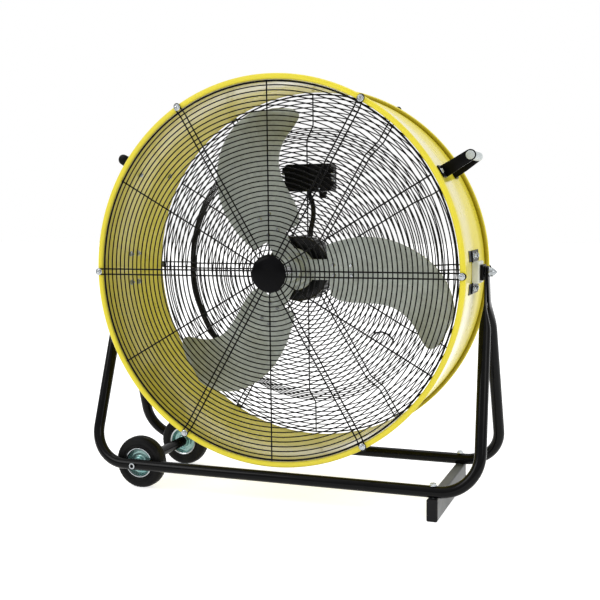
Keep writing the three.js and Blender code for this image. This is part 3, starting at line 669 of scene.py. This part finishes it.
guard_black = lay_finish(
    "guard_black", (0.0016, 0.0016, 0.0018), (0.003, 0.003, 0.003), 0.3, 0.42, 900, 0.004,
    spread=30, gleam=0.09)
ring_wire = 2.8
outer_ring = 396
ring_step = 10.47
border_ring = 404.4
ring_y = -137.15
spoke_y = -140.15
loop_y = -146.95
spoke_wire = 3.3
bolt_circle = 413
pair_half = 6


def seat_at(angle):
    """Out from the drum axis along local X, at an angle above the right side."""
    return axis @ Matrix.Rotation(-angle, 4, "Y")


def wire_ring(bm, radius, y, gauge, start=0.0, sweep=2 * pi, sides=6):
    """A wire hoop about the drum axis, or part of one with its ends cut square."""
    whole = abs(sweep - 2 * pi) < 1e-6
    steps = max(8, int(max(40, min(144, radius * 0.42)) * sweep / (2 * pi)))
    part = bmesh.new()
    section = bmesh.ops.create_circle(
        part, segments=sides, radius=gauge / 2, cap_ends=not whole,
        matrix=seat_at(start) @ Matrix.Translation((radius, y, 0)))["verts"]
    bmesh.ops.spin(
        part, geom=section + part.edges[:] + part.faces[:], cent=(0, 0, axis_height), axis=(0, -1, 0),
        angle=sweep, steps=steps, use_merge=whole, use_duplicate=False)
    joined(bm, part)


def wire_path(bm, place, points, gauge, sides=8):
    """A bent wire through the points (out, y, along the turn) of a radial seat."""
    line = [Vector(p) for p in points]
    side = Vector((0, 0, 1)) if abs((line[1] - line[0]).normalized().z) < 0.9 else Vector((1, 0, 0))
    frames = along(line, side, [gauge / 2] * len(line))
    drawn_through(bm, [place @ f for f in frames], sides)


def hairpin(leg, rim_y):
    """A leg of (radius, y) outward, the loop round a bolt at the rim, and the same leg back."""
    turns = [radians(t) for t in range(0, 181, 20)]
    loop = [(bolt_circle + 2.4 + pair_half * sin(t), rim_y, pair_half * cos(t)) for t in turns]
    return [(r, y, pair_half) for r, y in leg] + loop + [(r, y, -pair_half) for r, y in reversed(leg)]


front_bm = bmesh.new()
for k in range(35):
    wire_ring(front_bm, outer_ring - ring_step * k, ring_y, ring_wire)
wire_ring(front_bm, border_ring, -138.6, 4.2, sides=8)
wire_ring(front_bm, 31, ring_y, ring_wire)
front_leg = [
    (34, spoke_y), (200, spoke_y), (391, spoke_y), (396, -140.6), (402, -143.4), (407, -146.3),
    (410, loop_y),
]
front_single = [(30, spoke_y, 0), (300, spoke_y, 0), (403, -140.4, 0), (406.2, -140.4, 0)]
for k in range(12):
    bent = front_single if k % 2 else hairpin(front_leg, loop_y)
    wire_path(front_bm, seat_at(k * pi / 6), bent, spoke_wire)
new_piece("front_guard_wires", front_bm, guard_black, "drum", ["front_guard"], crease=75)

badge_black = lay_finish(
    "badge_black", (0.0018, 0.0018, 0.002), (0.003, 0.003, 0.0035), 0.16, 0.26, 300, 0.003,
    spread=25, gleam=0.05)
badge_bm = bmesh.new()
spun(badge_bm, [
    (0, 141.9), (37, 141.9), (39, 142.2), (39.5, 143.2), (39.2, 144.6), (37.6, 145.6), (36.4, 145.5),
    (35.6, 145.9), (30, 147.2), (20, 148), (10, 148.2), (0, 148.25),
], 72, axis @ to_front)
new_piece("badge_disc", badge_bm, badge_black, "drum", ["guard_badge"])

for k in range(6):
    bolt_bm = bmesh.new()
    place = seat_at(k * pi / 3) @ Matrix.Translation((bolt_circle, -148.9, 0)) @ to_front
    flanged_bolt(bolt_bm, place, 7, 9.6, 3.2, 3, 18)
    new_piece(f"rim_bolt_{k + 1}", bolt_bm, bright_zinc, "drum", [f"guard_bolt_{k + 1}"])

# ---------------------------------------------------------------------------- rear guard
# The same wires as in front, but its middle is sunk 44 mm into the drum, and the motor
# plate and the terminal box are screwed to it. The rings lie in front of the spokes, close
# together on the wall, and two stop short beside the motor lead.

rim_y = 147
sunk_ring_y = 99.95
sunk_spoke_y = 102.75
rear_leg = [
    (53, sunk_spoke_y), (150, sunk_spoke_y), (290, sunk_spoke_y), (294, 103.4), (297, 105.4),
    (331, 144.4), (334, 146.5), (338, rim_y),
]
rear_bm = bmesh.new()
wire_ring(rear_bm, border_ring, 145.2, 3.6, sides=8)
for k in range(6):
    wire_ring(rear_bm, outer_ring - ring_step * k, 144.15, ring_wire)
for k in range(6):
    wire_ring(rear_bm, 325.8 - 5.6 * k, 138.4 - 6.45 * k, 2.6)
for k in range(22):
    radius = 291 - 10.3 * k
    beside_lead = 124 < radius < 143
    if beside_lead:
        wire_ring(rear_bm, radius, sunk_ring_y, ring_wire, radians(90), radians(348))
    else:
        wire_ring(rear_bm, radius, sunk_ring_y, ring_wire)
for radius in (64, 54):
    wire_ring(rear_bm, radius, 105.75, ring_wire)
rear_single = [(r, y, 0) for r, y in rear_leg + [(403, rim_y), (406.2, rim_y)]]
for k in range(12):
    bent = rear_single if k % 2 else hairpin(rear_leg + [(410, rim_y)], rim_y)
    wire_path(rear_bm, seat_at(k * pi / 6), bent, spoke_wire)
wire_hook = [
    (153, 97, -172), (158, 96.4, -158), (168, 96.2, -150), (182, 96.2, -148), (196, 96.2, -153),
    (206, 96.4, -163), (209, 97, -172),
]
wire_path(rear_bm, axis, wire_hook, 4.2)
new_piece("rear_guard_wires", rear_bm, guard_black, "drum", ["rear_guard"], crease=75)

rear_bolts_bm = bmesh.new()
for k in range(6):
    place = seat_at(k * pi / 3) @ Matrix.Translation((bolt_circle, 148.9, 0)) @ to_back
    flanged_bolt(rear_bolts_bm, place, 7, 9.6, 3.2, 3, 14)
new_piece("rear_rim_bolts", rear_bolts_bm, bright_zinc, "drum")

# ---------------------------------------------------------------------------- handles
# On each side two pressed black plates stand on the band, each bolted through one foot,
# with a round grey grip between them. Its ends show at the plates, except in front on the
# left, where a black cover lies over it.

plate_black = lay_finish(
    "plate_black", (0.0016, 0.0016, 0.0018), (0.003, 0.003, 0.003), 0.3, 0.42, 500, 0.006, gleam=0.09)
grip_grey = lay_finish(
    "grip_grey", (0.36, 0.40, 0.40), (0.44, 0.47, 0.47), 0.42, 0.55, 1400, 0.03, spread=30)
grip_middle = 477
foot_out = band_outside + 0.3
to_right = Matrix.Rotation(pi / 2, 4, "Y")
to_left = Matrix.Rotation(-pi / 2, 4, "Y")


def plate_from(bm, outline, low, high):
    """A flat plate: outline in X and Z, thickness along Y from low to high."""
    corners = [bm.verts.new((x, low, z)) for x, z in outline]
    face = bm.faces.new(corners)
    raised = bmesh.ops.extrude_face_region(bm, geom=[face])["geom"]
    top = [part for part in raised if isinstance(part, bmesh.types.BMVert)]
    bmesh.ops.translate(bm, verts=top, vec=(0, high - low, 0))


def upright(end):
    """Side view of a plate whose outer end is rounded to the given radius."""
    half = [(foot_out, 14), (foot_out + 30, 12.8), (grip_middle - 2, end + 0.2)]
    round_end = [(grip_middle + end * sin(radians(t)), end * cos(radians(t))) for t in range(0, 181, 18)]
    return half + round_end + [(x, -z) for x, z in reversed(half)]


def washer_and_nut(bm, place):
    """What holds a bolt on the inside of the band."""
    spun(bm, [(3, 0), (6.4, 0), (6.4, 1), (3, 1)], 24, place, loop=True)
    hexagon(bm, 9.6, 1, 4.6, place)


for side_name, angle in (("right", radians(30.7)), ("left", pi - radians(32.4))):
    seat = seat_at(angle)
    for where, side, end in (("front", -1, 12), ("rear", 1, 9.4)):
        plate_bm = bmesh.new()
        plate_from(plate_bm, upright(end), *sorted((side * 43.5, side * 46.4)))
        feet = sorted((side * 44, side * 77))
        cuboid(plate_bm, (foot_out, feet[0], -14), (foot_out + 2.8, feet[1], 14))
        toes = [e for e in plate_bm.edges if all(abs(v.co.y) > 76 for v in e.verts)
                and abs(e.verts[0].co.x - e.verts[1].co.x) > 1]
        ease(plate_bm, toes, 5, 4)
        ease(plate_bm, sharp_edges(plate_bm, 50), 0.5, 2)
        bmesh.ops.transform(plate_bm, matrix=seat, verts=plate_bm.verts)
        new_piece(f"grip_plate_{where}_{side_name}", plate_bm, plate_black, "drum",
                  [f"handle_plate_{where}_{side_name}"])
        bolt_bm = bmesh.new()
        flanged_bolt(bolt_bm, seat @ Matrix.Translation((foot_out + 2.8, side * 70, 0)) @ to_right,
                     5.6, 8, 2.6, 3, 12)
        washer_and_nut(bolt_bm, seat @ Matrix.Translation((band_inside - 0.2, side * 70, 0)) @ to_left)
        new_piece(f"plate_bolt_{where}_{side_name}", bolt_bm, bright_zinc, "drum")
    grip_bm = bmesh.new()
    spun(grip_bm, [
        (0, -47.9), (8.2, -47.9), (9.2, -47.3), (9.5, -46.2), (9.5, -42), (9.5, -20), (9.5, 20), (9.5, 42),
        (9.5, 46.2), (9.2, 47.3), (8.2, 47.9), (0, 47.9),
    ], 40, seat @ Matrix.Translation((grip_middle, 0, 0)) @ to_back)
    if side_name == "left":
        cover_bm = bmesh.new()
        spun(cover_bm, [(0, -48), (11.2, -48), (11.8, -47.6), (11.8, -46.5), (0, -46.5)], 40,
             seat @ Matrix.Translation((grip_middle, 0, 0)) @ to_back)
        new_piece("grip_end_cover", cover_bm, plate_black, "drum")
    new_piece(f"round_grip_{side_name}", grip_bm, grip_grey, "drum",
              [f"handle_grip_{side_name}"])

# ---------------------------------------------------------------------------- pivots
# A bracket is bolted to each side of the band by its two black feet, over thin black sheets
# that reach past the feet in front and behind.
# Its raised middle is a plated cup and takes the pivot bolt, which runs through a black
# block and both flattened tube tops into a pointed hand nut.

bracket_zinc = lay_finish(
    "bracket_zinc", (0.56, 0.57, 0.49), (0.48, 0.50, 0.43), 0.34, 0.46, 700, 0.006, spread=30, metal=0.3)
block_black = lay_finish(
    "block_black", (0.0018, 0.0018, 0.002), (0.004, 0.004, 0.004), 0.34, 0.46, 900, 0.01, gleam=0.08)
cup_half = 27
pad_half = 53
foot_side = [(411.6, 21.5), (413.9, 21.5), (411.9, 45), (409.6, 45)]
pad_side = [(410.6, 23), (411.5, 23), (409.5, 46), (408.6, 46)]
for side_name, angle, knob_body in (("right", 0, "knob_right"), ("left", pi, "knob_left")):
    seat = seat_at(angle)
    cup_bm = bmesh.new()
    cuboid(cup_bm, (411.6, -cup_half, -23), (426, cup_half, 23))
    bmesh.ops.delete(cup_bm, geom=[f for f in cup_bm.faces if f.normal.x < -0.9], context="FACES")
    ease(cup_bm, sharp_edges(cup_bm, 60), 2.2, 3)
    bmesh.ops.recalc_face_normals(cup_bm, faces=cup_bm.faces)
    bmesh.ops.solidify(cup_bm, geom=cup_bm.faces[:], thickness=2.2)
    bmesh.ops.transform(cup_bm, matrix=seat, verts=cup_bm.verts)
    new_piece(f"cup_bracket_{side_name}", cup_bm, bracket_zinc, "drum",
              [f"pivot_bracket_{side_name}"])

    feet_bm = bmesh.new()
    for half in (1, -1):
        plate_from(feet_bm, [(x, half * z) for x, z in foot_side], -cup_half, cup_half)
    toes = [e for e in feet_bm.edges if all(abs(v.co.z) > 44 for v in e.verts)
            and abs(e.verts[0].co.x - e.verts[1].co.x) > 1.5]
    ease(feet_bm, toes, 4, 4)
    bmesh.ops.transform(feet_bm, matrix=seat, verts=feet_bm.verts)
    new_piece(f"bracket_feet_{side_name}", feet_bm, plate_black, "drum")

    pads_bm = bmesh.new()
    for half in (1, -1):
        plate_from(pads_bm, [(x, half * z) for x, z in pad_side], -pad_half, pad_half)
    bmesh.ops.transform(pads_bm, matrix=seat, verts=pads_bm.verts)
    new_piece(f"bracket_pads_{side_name}", pads_bm, block_black, "drum")

    bolts_bm = bmesh.new()
    for y in (-17, 17):
        for turn in (-4.8, 4.8):
            turned = seat @ Matrix.Rotation(-radians(turn), 4, "Y")
            on_foot = turned @ Matrix.Translation((414.1, y, 0)) @ to_right
            flanged_bolt(bolts_bm, on_foot, 6.6, 9, 3.4, 3, 14)
            washer_and_nut(bolts_bm, turned @ Matrix.Translation((band_inside - 0.2, y, 0)) @ to_left)
    new_piece(f"bracket_bolts_{side_name}", bolts_bm, bright_zinc, "drum")

    block_bm = bmesh.new()
    cuboid(block_bm, (426.3, -18, -17), (433.1, 18, 16))
    ease(block_bm, [e for e in block_bm.edges if abs(e.verts[0].co.x - e.verts[1].co.x) > 5], 3, 4)
    ease(block_bm, sharp_edges(block_bm, 50), 0.8, 2)
    bmesh.ops.transform(block_bm, matrix=seat, verts=block_bm.verts)
    new_piece(f"pivot_block_{side_name}", block_bm, block_black, "drum",
              [f"pivot_spacer_{side_name}"])

    nut_bm = bmesh.new()
    spun(nut_bm, [
        (6.3, 442.7), (10, 442.7), (10.5, 443.2), (10.5, 445), (9.9, 445.7), (8.9, 446.2), (8.7, 449),
        (8.1, 451), (6.6, 453.4), (4.4, 456), (2.6, 458), (1.2, 459), (0, 459.1),
    ], 40, seat @ to_right)
    for k in range(10):
        turn = Matrix.Rotation(k * pi / 5, 4, "X")
        rib = cuboid(nut_bm, (445.4, -0.8, 8.2), (450.5, 0.8, 9.6))
        bmesh.ops.transform(nut_bm, matrix=seat @ turn, verts=rib)
    new_piece(f"hand_nut_{side_name}", nut_bm, bright_zinc, knob_body,
              [f"tilt_knob_{side_name}"])

# ---------------------------------------------------------------------------- motor
# An enclosed motor with cooling ribs along its housing sits behind the fan, on a plate
# that is screwed to the sunken middle of the rear guard. Black enamel.

motor_black = lay_finish(
    "motor_black", (0.0026, 0.003, 0.0032), (0.006, 0.0065, 0.007), 0.26, 0.42, 350, 0.03,
    spread=18, gleam=0.25)
housing_bm = bmesh.new()
spun(housing_bm, [
    (18.1, 97), (18.1, 87), (70, 87), (70, 38.3), (72.4, 38.3), (72.4, 92.8), (71, 95.6), (68, 97),
], 96, drum_line, loop=True)
rib_middle = Matrix.Translation((0, -66.5, 0))
for k in range(36):
    rib = cuboid(housing_bm, (71.8, 41, -1.1), (75, 92, 1.1))
    crest = [v for v in rib if v.co.x > 74]
    bmesh.ops.scale(housing_bm, vec=(1, 0.97, 0.7), verts=crest, space=rib_middle)
    bmesh.ops.transform(housing_bm, matrix=seat_at(-k * pi / 18), verts=rib)
new_piece("ribbed_housing", housing_bm, motor_black, "drum", ["motor_housing"])

cover_bm = bmesh.new()
spun(cover_bm, [
    (18.1, 38), (18.1, 30.2), (24, 30), (27, 31.6), (56, 31.6), (60, 30.2), (68, 30.2), (72.2, 31.8),
    (74.6, 34.4), (74.9, 38),
], 96, drum_line, loop=True)
for k in range(4):
    seat = seat_at(-pi / 4 - k * pi / 2)
    hexagon(cover_bm, 6, 0, 2.4, seat @ Matrix.Translation((64, 30.4, 0)) @ to_front)
for k in range(12):
    rib = cuboid(cover_bm, (28, 30.4, -1.2), (56, 32.4, 1.2))
    bmesh.ops.transform(cover_bm, matrix=seat_at(-k * pi / 6), verts=rib)
new_piece("motor_front_bell", cover_bm, motor_black, "drum", ["motor_front_cover"])

laminated_iron = lay_finish(
    "laminated_iron", (0.24, 0.25, 0.26), (0.17, 0.17, 0.18), 0.35, 0.55, 1500, 0.03, spread=40, metal=0.9)
polished_steel = lay_finish(
    "polished_steel", (0.56, 0.57, 0.58), (0.48, 0.48, 0.48), 0.18, 0.3, 1600, 0.004, spread=50, metal=1.0)


def coat_nodes(finish, *names):
    """Give a finish to nodes that are shown as they are."""
    for name in names:
        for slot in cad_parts[name].material_slots:
            slot.material = finish


coat_nodes(plate_black, "motor_mount_plate")
coat_nodes(laminated_iron, "stator", "rotor")
coat_nodes(polished_steel, "bearing_front", "bearing_rear", "motor_shaft")
coat_nodes(bright_zinc, "pivot_bolt_right", "pivot_bolt_left")
coat_nodes(cap_black, "wheel_bush_front", "wheel_bush_rear")

# ---------------------------------------------------------------------------- terminal box
# A moulded black box behind the rear guard holds the wire ends, the run capacitor and the
# speed switch. Its lid has four screws and the switch knob, and two lugs on each side hook
# round the guard wires. The supply lead would enter through the gland below.

box_black = lay_finish(
    "box_black", (0.0022, 0.0022, 0.0026), (0.0045, 0.0045, 0.005), 0.3, 0.42, 1800, 0.015,
    spread=16, gleam=0.1)
box_middle = axis_height + 209
box_half_width = 58
box_half_height = 32
box_front = 104.5
case_bm = bmesh.new()
cuboid(case_bm, (-box_half_width, box_front, box_middle - box_half_height),
       (box_half_width, 142, box_middle + box_half_height))
corners = [e for e in case_bm.edges if abs(e.verts[0].co.y - e.verts[1].co.y) > 20]
ease(case_bm, corners, 7, 3)
front_rim = [e for e in sharp_edges(case_bm, 40) if all(v.co.y < 105 for v in e.verts)]
ease(case_bm, front_rim, 2.4, 3)
back = [f for f in case_bm.faces if f.normal.y > 0.9]
bmesh.ops.inset_region(case_bm, faces=back, thickness=3, use_even_offset=True)
sunk = bmesh.ops.extrude_face_region(case_bm, geom=back)["geom"]
bmesh.ops.translate(case_bm, verts=[p for p in sunk if isinstance(p, bmesh.types.BMVert)], vec=(0, -34, 0))
bmesh.ops.delete(case_bm, geom=[f for f in back if f.is_valid], context="FACES_ONLY")
for x in (-1, 1):
    for z in (-17, 17):
        ends = sorted((x * 57.5, x * 64))
        lug = cuboid(case_bm, (ends[0], 105.5, box_middle + z - 7), (ends[1], 111, box_middle + z + 7))
        bmesh.ops.scale(case_bm, vec=(1, 1, 0.6), verts=[v for v in lug if abs(v.co.x) > 60],
                        space=Matrix.Translation((0, 0, -(box_middle + z))))
new_piece("switch_case", case_bm, box_black, "drum", ["terminal_box"])

lid_bm = bmesh.new()
cuboid(lid_bm, (-box_half_width, 142.3, box_middle - box_half_height),
       (box_half_width, 146.2, box_middle + box_half_height))
ease(lid_bm, [e for e in lid_bm.edges if abs(e.verts[0].co.y - e.verts[1].co.y) > 2], 7, 3)
ease(lid_bm, [e for e in sharp_edges(lid_bm, 40) if all(v.co.y > 146 for v in e.verts)], 1.4, 3)
new_piece("switch_case_lid", lid_bm, box_black, "drum", ["terminal_box_lid"])

screws_bm = bmesh.new()
for x in (-50, 50):
    for z in (-24, 24):
        place = Matrix.Translation((x, 146.1, box_middle + z)) @ to_back
        spun(screws_bm, [(0, 0), (3.6, 0), (3.6, 0.8), (2.6, 1.9), (1, 2.3), (0, 2.3)], 20, place)
for x in (-1, 1):
    for z in (-9, 0, 9):
        outward = to_right if x > 0 else to_left
        place = Matrix.Translation((x * box_half_width, 108, box_middle + z)) @ outward
        spun(screws_bm, [(0, 0), (3.4, 0), (3.4, 3.2), (2.6, 4.2), (2.2, 7.2), (0, 7.4)], 18, place)
for x, z in ((-1, -27.5), (28, -25)):
    spun(screws_bm, [(0, 0), (2.9, 0), (2.9, 0.7), (1.6, 1.5), (0, 1.8)], 20,
         Matrix.Translation((x, box_front + 0.1, box_middle + z)) @ to_front)
new_piece("case_screws", screws_bm, bright_zinc, "drum")

dial_bm = bmesh.new()
spun(dial_bm, [
    (0, 146.6), (16.4, 146.6), (17, 147.2), (17, 149.6), (16.2, 150.5), (13.6, 150.9), (13, 151.6),
    (12.7, 156.4), (12, 157.4), (10, 157.6), (0, 157.6),
], 48, Matrix.Translation((-22, 0, box_middle)) @ to_back)
finger_bar = cuboid(dial_bm, (-25, 151, box_middle - 12.8), (-19, 158.5, box_middle + 12.8))
ease(dial_bm, list({e for v in finger_bar for e in v.link_edges}), 1, 3)
new_piece("speed_dial", dial_bm, box_black, "switch", ["speed_knob"])

gland_bm = bmesh.new()
gland_seat = (30, 126.5, box_middle - box_half_height - 0.3)
gland_place = Matrix.Translation(gland_seat) @ Matrix.Rotation(pi, 4, "X")
gland_cap = [(4, 16), (6.4, 16), (7.6, 14.6), (8.6, 11.5), (8.9, 6), (8.9, 5.4), (4, 5.4)]
gland_nut = [(4.1, 5.6), (4.1, 0.2), (10.9, 0.2), (10.9, 4.6), (10.2, 5.3), (8, 5.5)]
spun(gland_bm, gland_cap, 32, gland_place, loop=True)
spun(gland_bm, gland_nut, 6, gland_place, loop=True)
new_piece("lead_gland", gland_bm, box_black, "drum", ["cable_gland"], crease=25)

capacitor_can = lay_finish(
    "capacitor_can", (0.5, 0.51, 0.5), (0.42, 0.43, 0.42), 0.35, 0.5, 900, 0.02, spread=35)
coat_nodes(capacitor_can, "capacitor")

# ---------------------------------------------------------------------------- fan
# Three wide blades of galvanised sheet are riveted to the arms of a pressed spider, and
# the spider is clamped to a turned hub on the motor shaft.

galvanised = lay_finish(
    "galvanised", (0.385, 0.415, 0.38), (0.33, 0.355, 0.325), 0.34, 0.48, 500, 0.006, spread=14, metal=0.4)
spangle_tree = galvanised.node_tree
spot = node_of(spangle_tree, "ShaderNodeTexCoord")
flake = node_of(spangle_tree, "ShaderNodeTexVoronoi")
flake.inputs["Scale"].default_value = 130
toned = node_of(spangle_tree, "ShaderNodeMix", data_type="RGBA", blend_type="MULTIPLY")
toned.inputs["Factor"].default_value = 1
spangle_tree.links.new(spot.outputs["Object"], flake.inputs["Vector"])
flake_tone = mapped(spangle_tree, flake.outputs["Color"], 0, 1, 0.86, 1.12, eased=False)
spangle_tree.links.new(flake_tone, toned.inputs["B"])
colour_through(galvanised, toned.inputs["A"], toned.outputs["Result"])

hub_bm = bmesh.new()
spun(hub_bm, [
    (9.3, -24), (24, -24), (26.6, -22.6), (28, -20.6), (28, -4), (29.4, -1.4), (36.8, -0.4),
    (38, 0.8), (38, 5.4), (9.3, 5.4),
], 56, drum_line, loop=True)
new_piece("turned_hub", hub_bm, galvanised, "fan", ["fan_hub"])

blade_pitch = 0.25
blade_slope = atan2(blade_pitch, 1)
spider_bm = bmesh.new()
spider_middle = [(9.5, 6.2), (46.6, 6.2), (48, 7.4), (48, 12.4), (46.6, 13.6), (9.5, 13.6)]
spun(spider_bm, spider_middle, 56, drum_line, loop=True)
for k in range(3):
    arm_bm = bmesh.new()
    cuboid(arm_bm, (22, 0.2, -24), (150, 3, 24))
    tips = [e for e in arm_bm.edges if all(v.co.x > 149 for v in e.verts)
            and abs(e.verts[0].co.y - e.verts[1].co.y) > 1]
    ease(arm_bm, tips, 10, 5)
    sloped = Matrix.Translation((0, 6.6, 0)) @ Matrix.Rotation(blade_slope, 4, "X")
    bmesh.ops.transform(arm_bm, matrix=seat_at(k * 2 * pi / 3) @ sloped, verts=arm_bm.verts)
    joined(spider_bm, arm_bm)
new_piece("pressed_spider", spider_bm, galvanised, "fan", ["fan_spider"])

trailing_edge = [
    (84, 56), (111, 65), (150, 73), (190, 74), (226, 69), (258, 58), (285, 44), (308, 28), (328, 9),
    (343, -12), (355, -36), (362, -62), (364, -86),
]
leading_edge = [
    (84, -58), (110, -71), (150, -74), (190, -75), (222, -82), (244, -94), (262, -111), (275, -132),
    (286, -156), (300, -175), (318, -172), (334, -153), (347, -131),
]
blade_seat = 5
blade_sheet = 1.8
blade_camber = 8


def eased_edge(points, count):
    """Evenly numbered points on a smooth line through (out from the axis, along the turn)."""
    line = smooth_route([Vector((x, z, 0)) for x, z in points], 8)
    return [line[round(i * (len(line) - 1) / count)] for i in range(count + 1)]


def smooth_between(value, low, high):
    """0 below low, 1 above high, with an even curve between."""
    t = min(max((value - low) / (high - low), 0), 1)
    return t * t * (3 - 2 * t)


long_count = 48
wide_count = 20
trailing_line = eased_edge(trailing_edge, long_count)
leading_line = eased_edge(leading_edge, long_count)
for k in range(3):
    blade_bm = bmesh.new()
    sheet = bmesh.ops.create_grid(blade_bm, x_segments=long_count, y_segments=wide_count, size=1)["verts"]
    for corner in sheet:
        i = round((corner.co.x + 1) / 2 * long_count)
        across = (corner.co.y + 1) / 2
        back_spot, front_spot = trailing_line[i], leading_line[i]
        out = back_spot.x + (front_spot.x - back_spot.x) * across
        turnwise = back_spot.y + (front_spot.y - back_spot.y) * across
        camber = blade_camber * smooth_between(back_spot.x, 150, 230) * 4 * across * (1 - across)
        corner.co = (out, blade_seat - blade_pitch * turnwise + camber, turnwise)
    bmesh.ops.recalc_face_normals(blade_bm, faces=blade_bm.faces)
    if sum(f.normal.y for f in blade_bm.faces) < 0:
        bmesh.ops.reverse_faces(blade_bm, faces=blade_bm.faces)
    bmesh.ops.translate(blade_bm, verts=blade_bm.verts, vec=(0, blade_sheet / 2, 0))
    bmesh.ops.solidify(blade_bm, geom=blade_bm.faces[:], thickness=blade_sheet)
    bmesh.ops.transform(blade_bm, matrix=seat_at(k * 2 * pi / 3), verts=blade_bm.verts)
    new_piece(f"sheet_blade_{k + 1}", blade_bm, galvanised, "fan", [f"blade_{k + 1}"])

rivet_side = [(0, 6.2), (3, 6.2), (3, 1), (4.6, 1), (4.4, 1.8), (3.4, 2.9), (1.8, 3.6), (0, 3.8)]
rivets_bm = bmesh.new()
for k in range(3):
    for out in (97, 138):
        for turnwise in (-12, 12):
            on_blade = Matrix.Translation((out, blade_seat - blade_pitch * turnwise, turnwise))
            place = seat_at(k * 2 * pi / 3) @ on_blade @ Matrix.Rotation(blade_slope, 4, "X")
            spun(rivets_bm, rivet_side, 18, place @ to_front)
new_piece("blade_rivets", rivets_bm, bright_zinc, "fan")
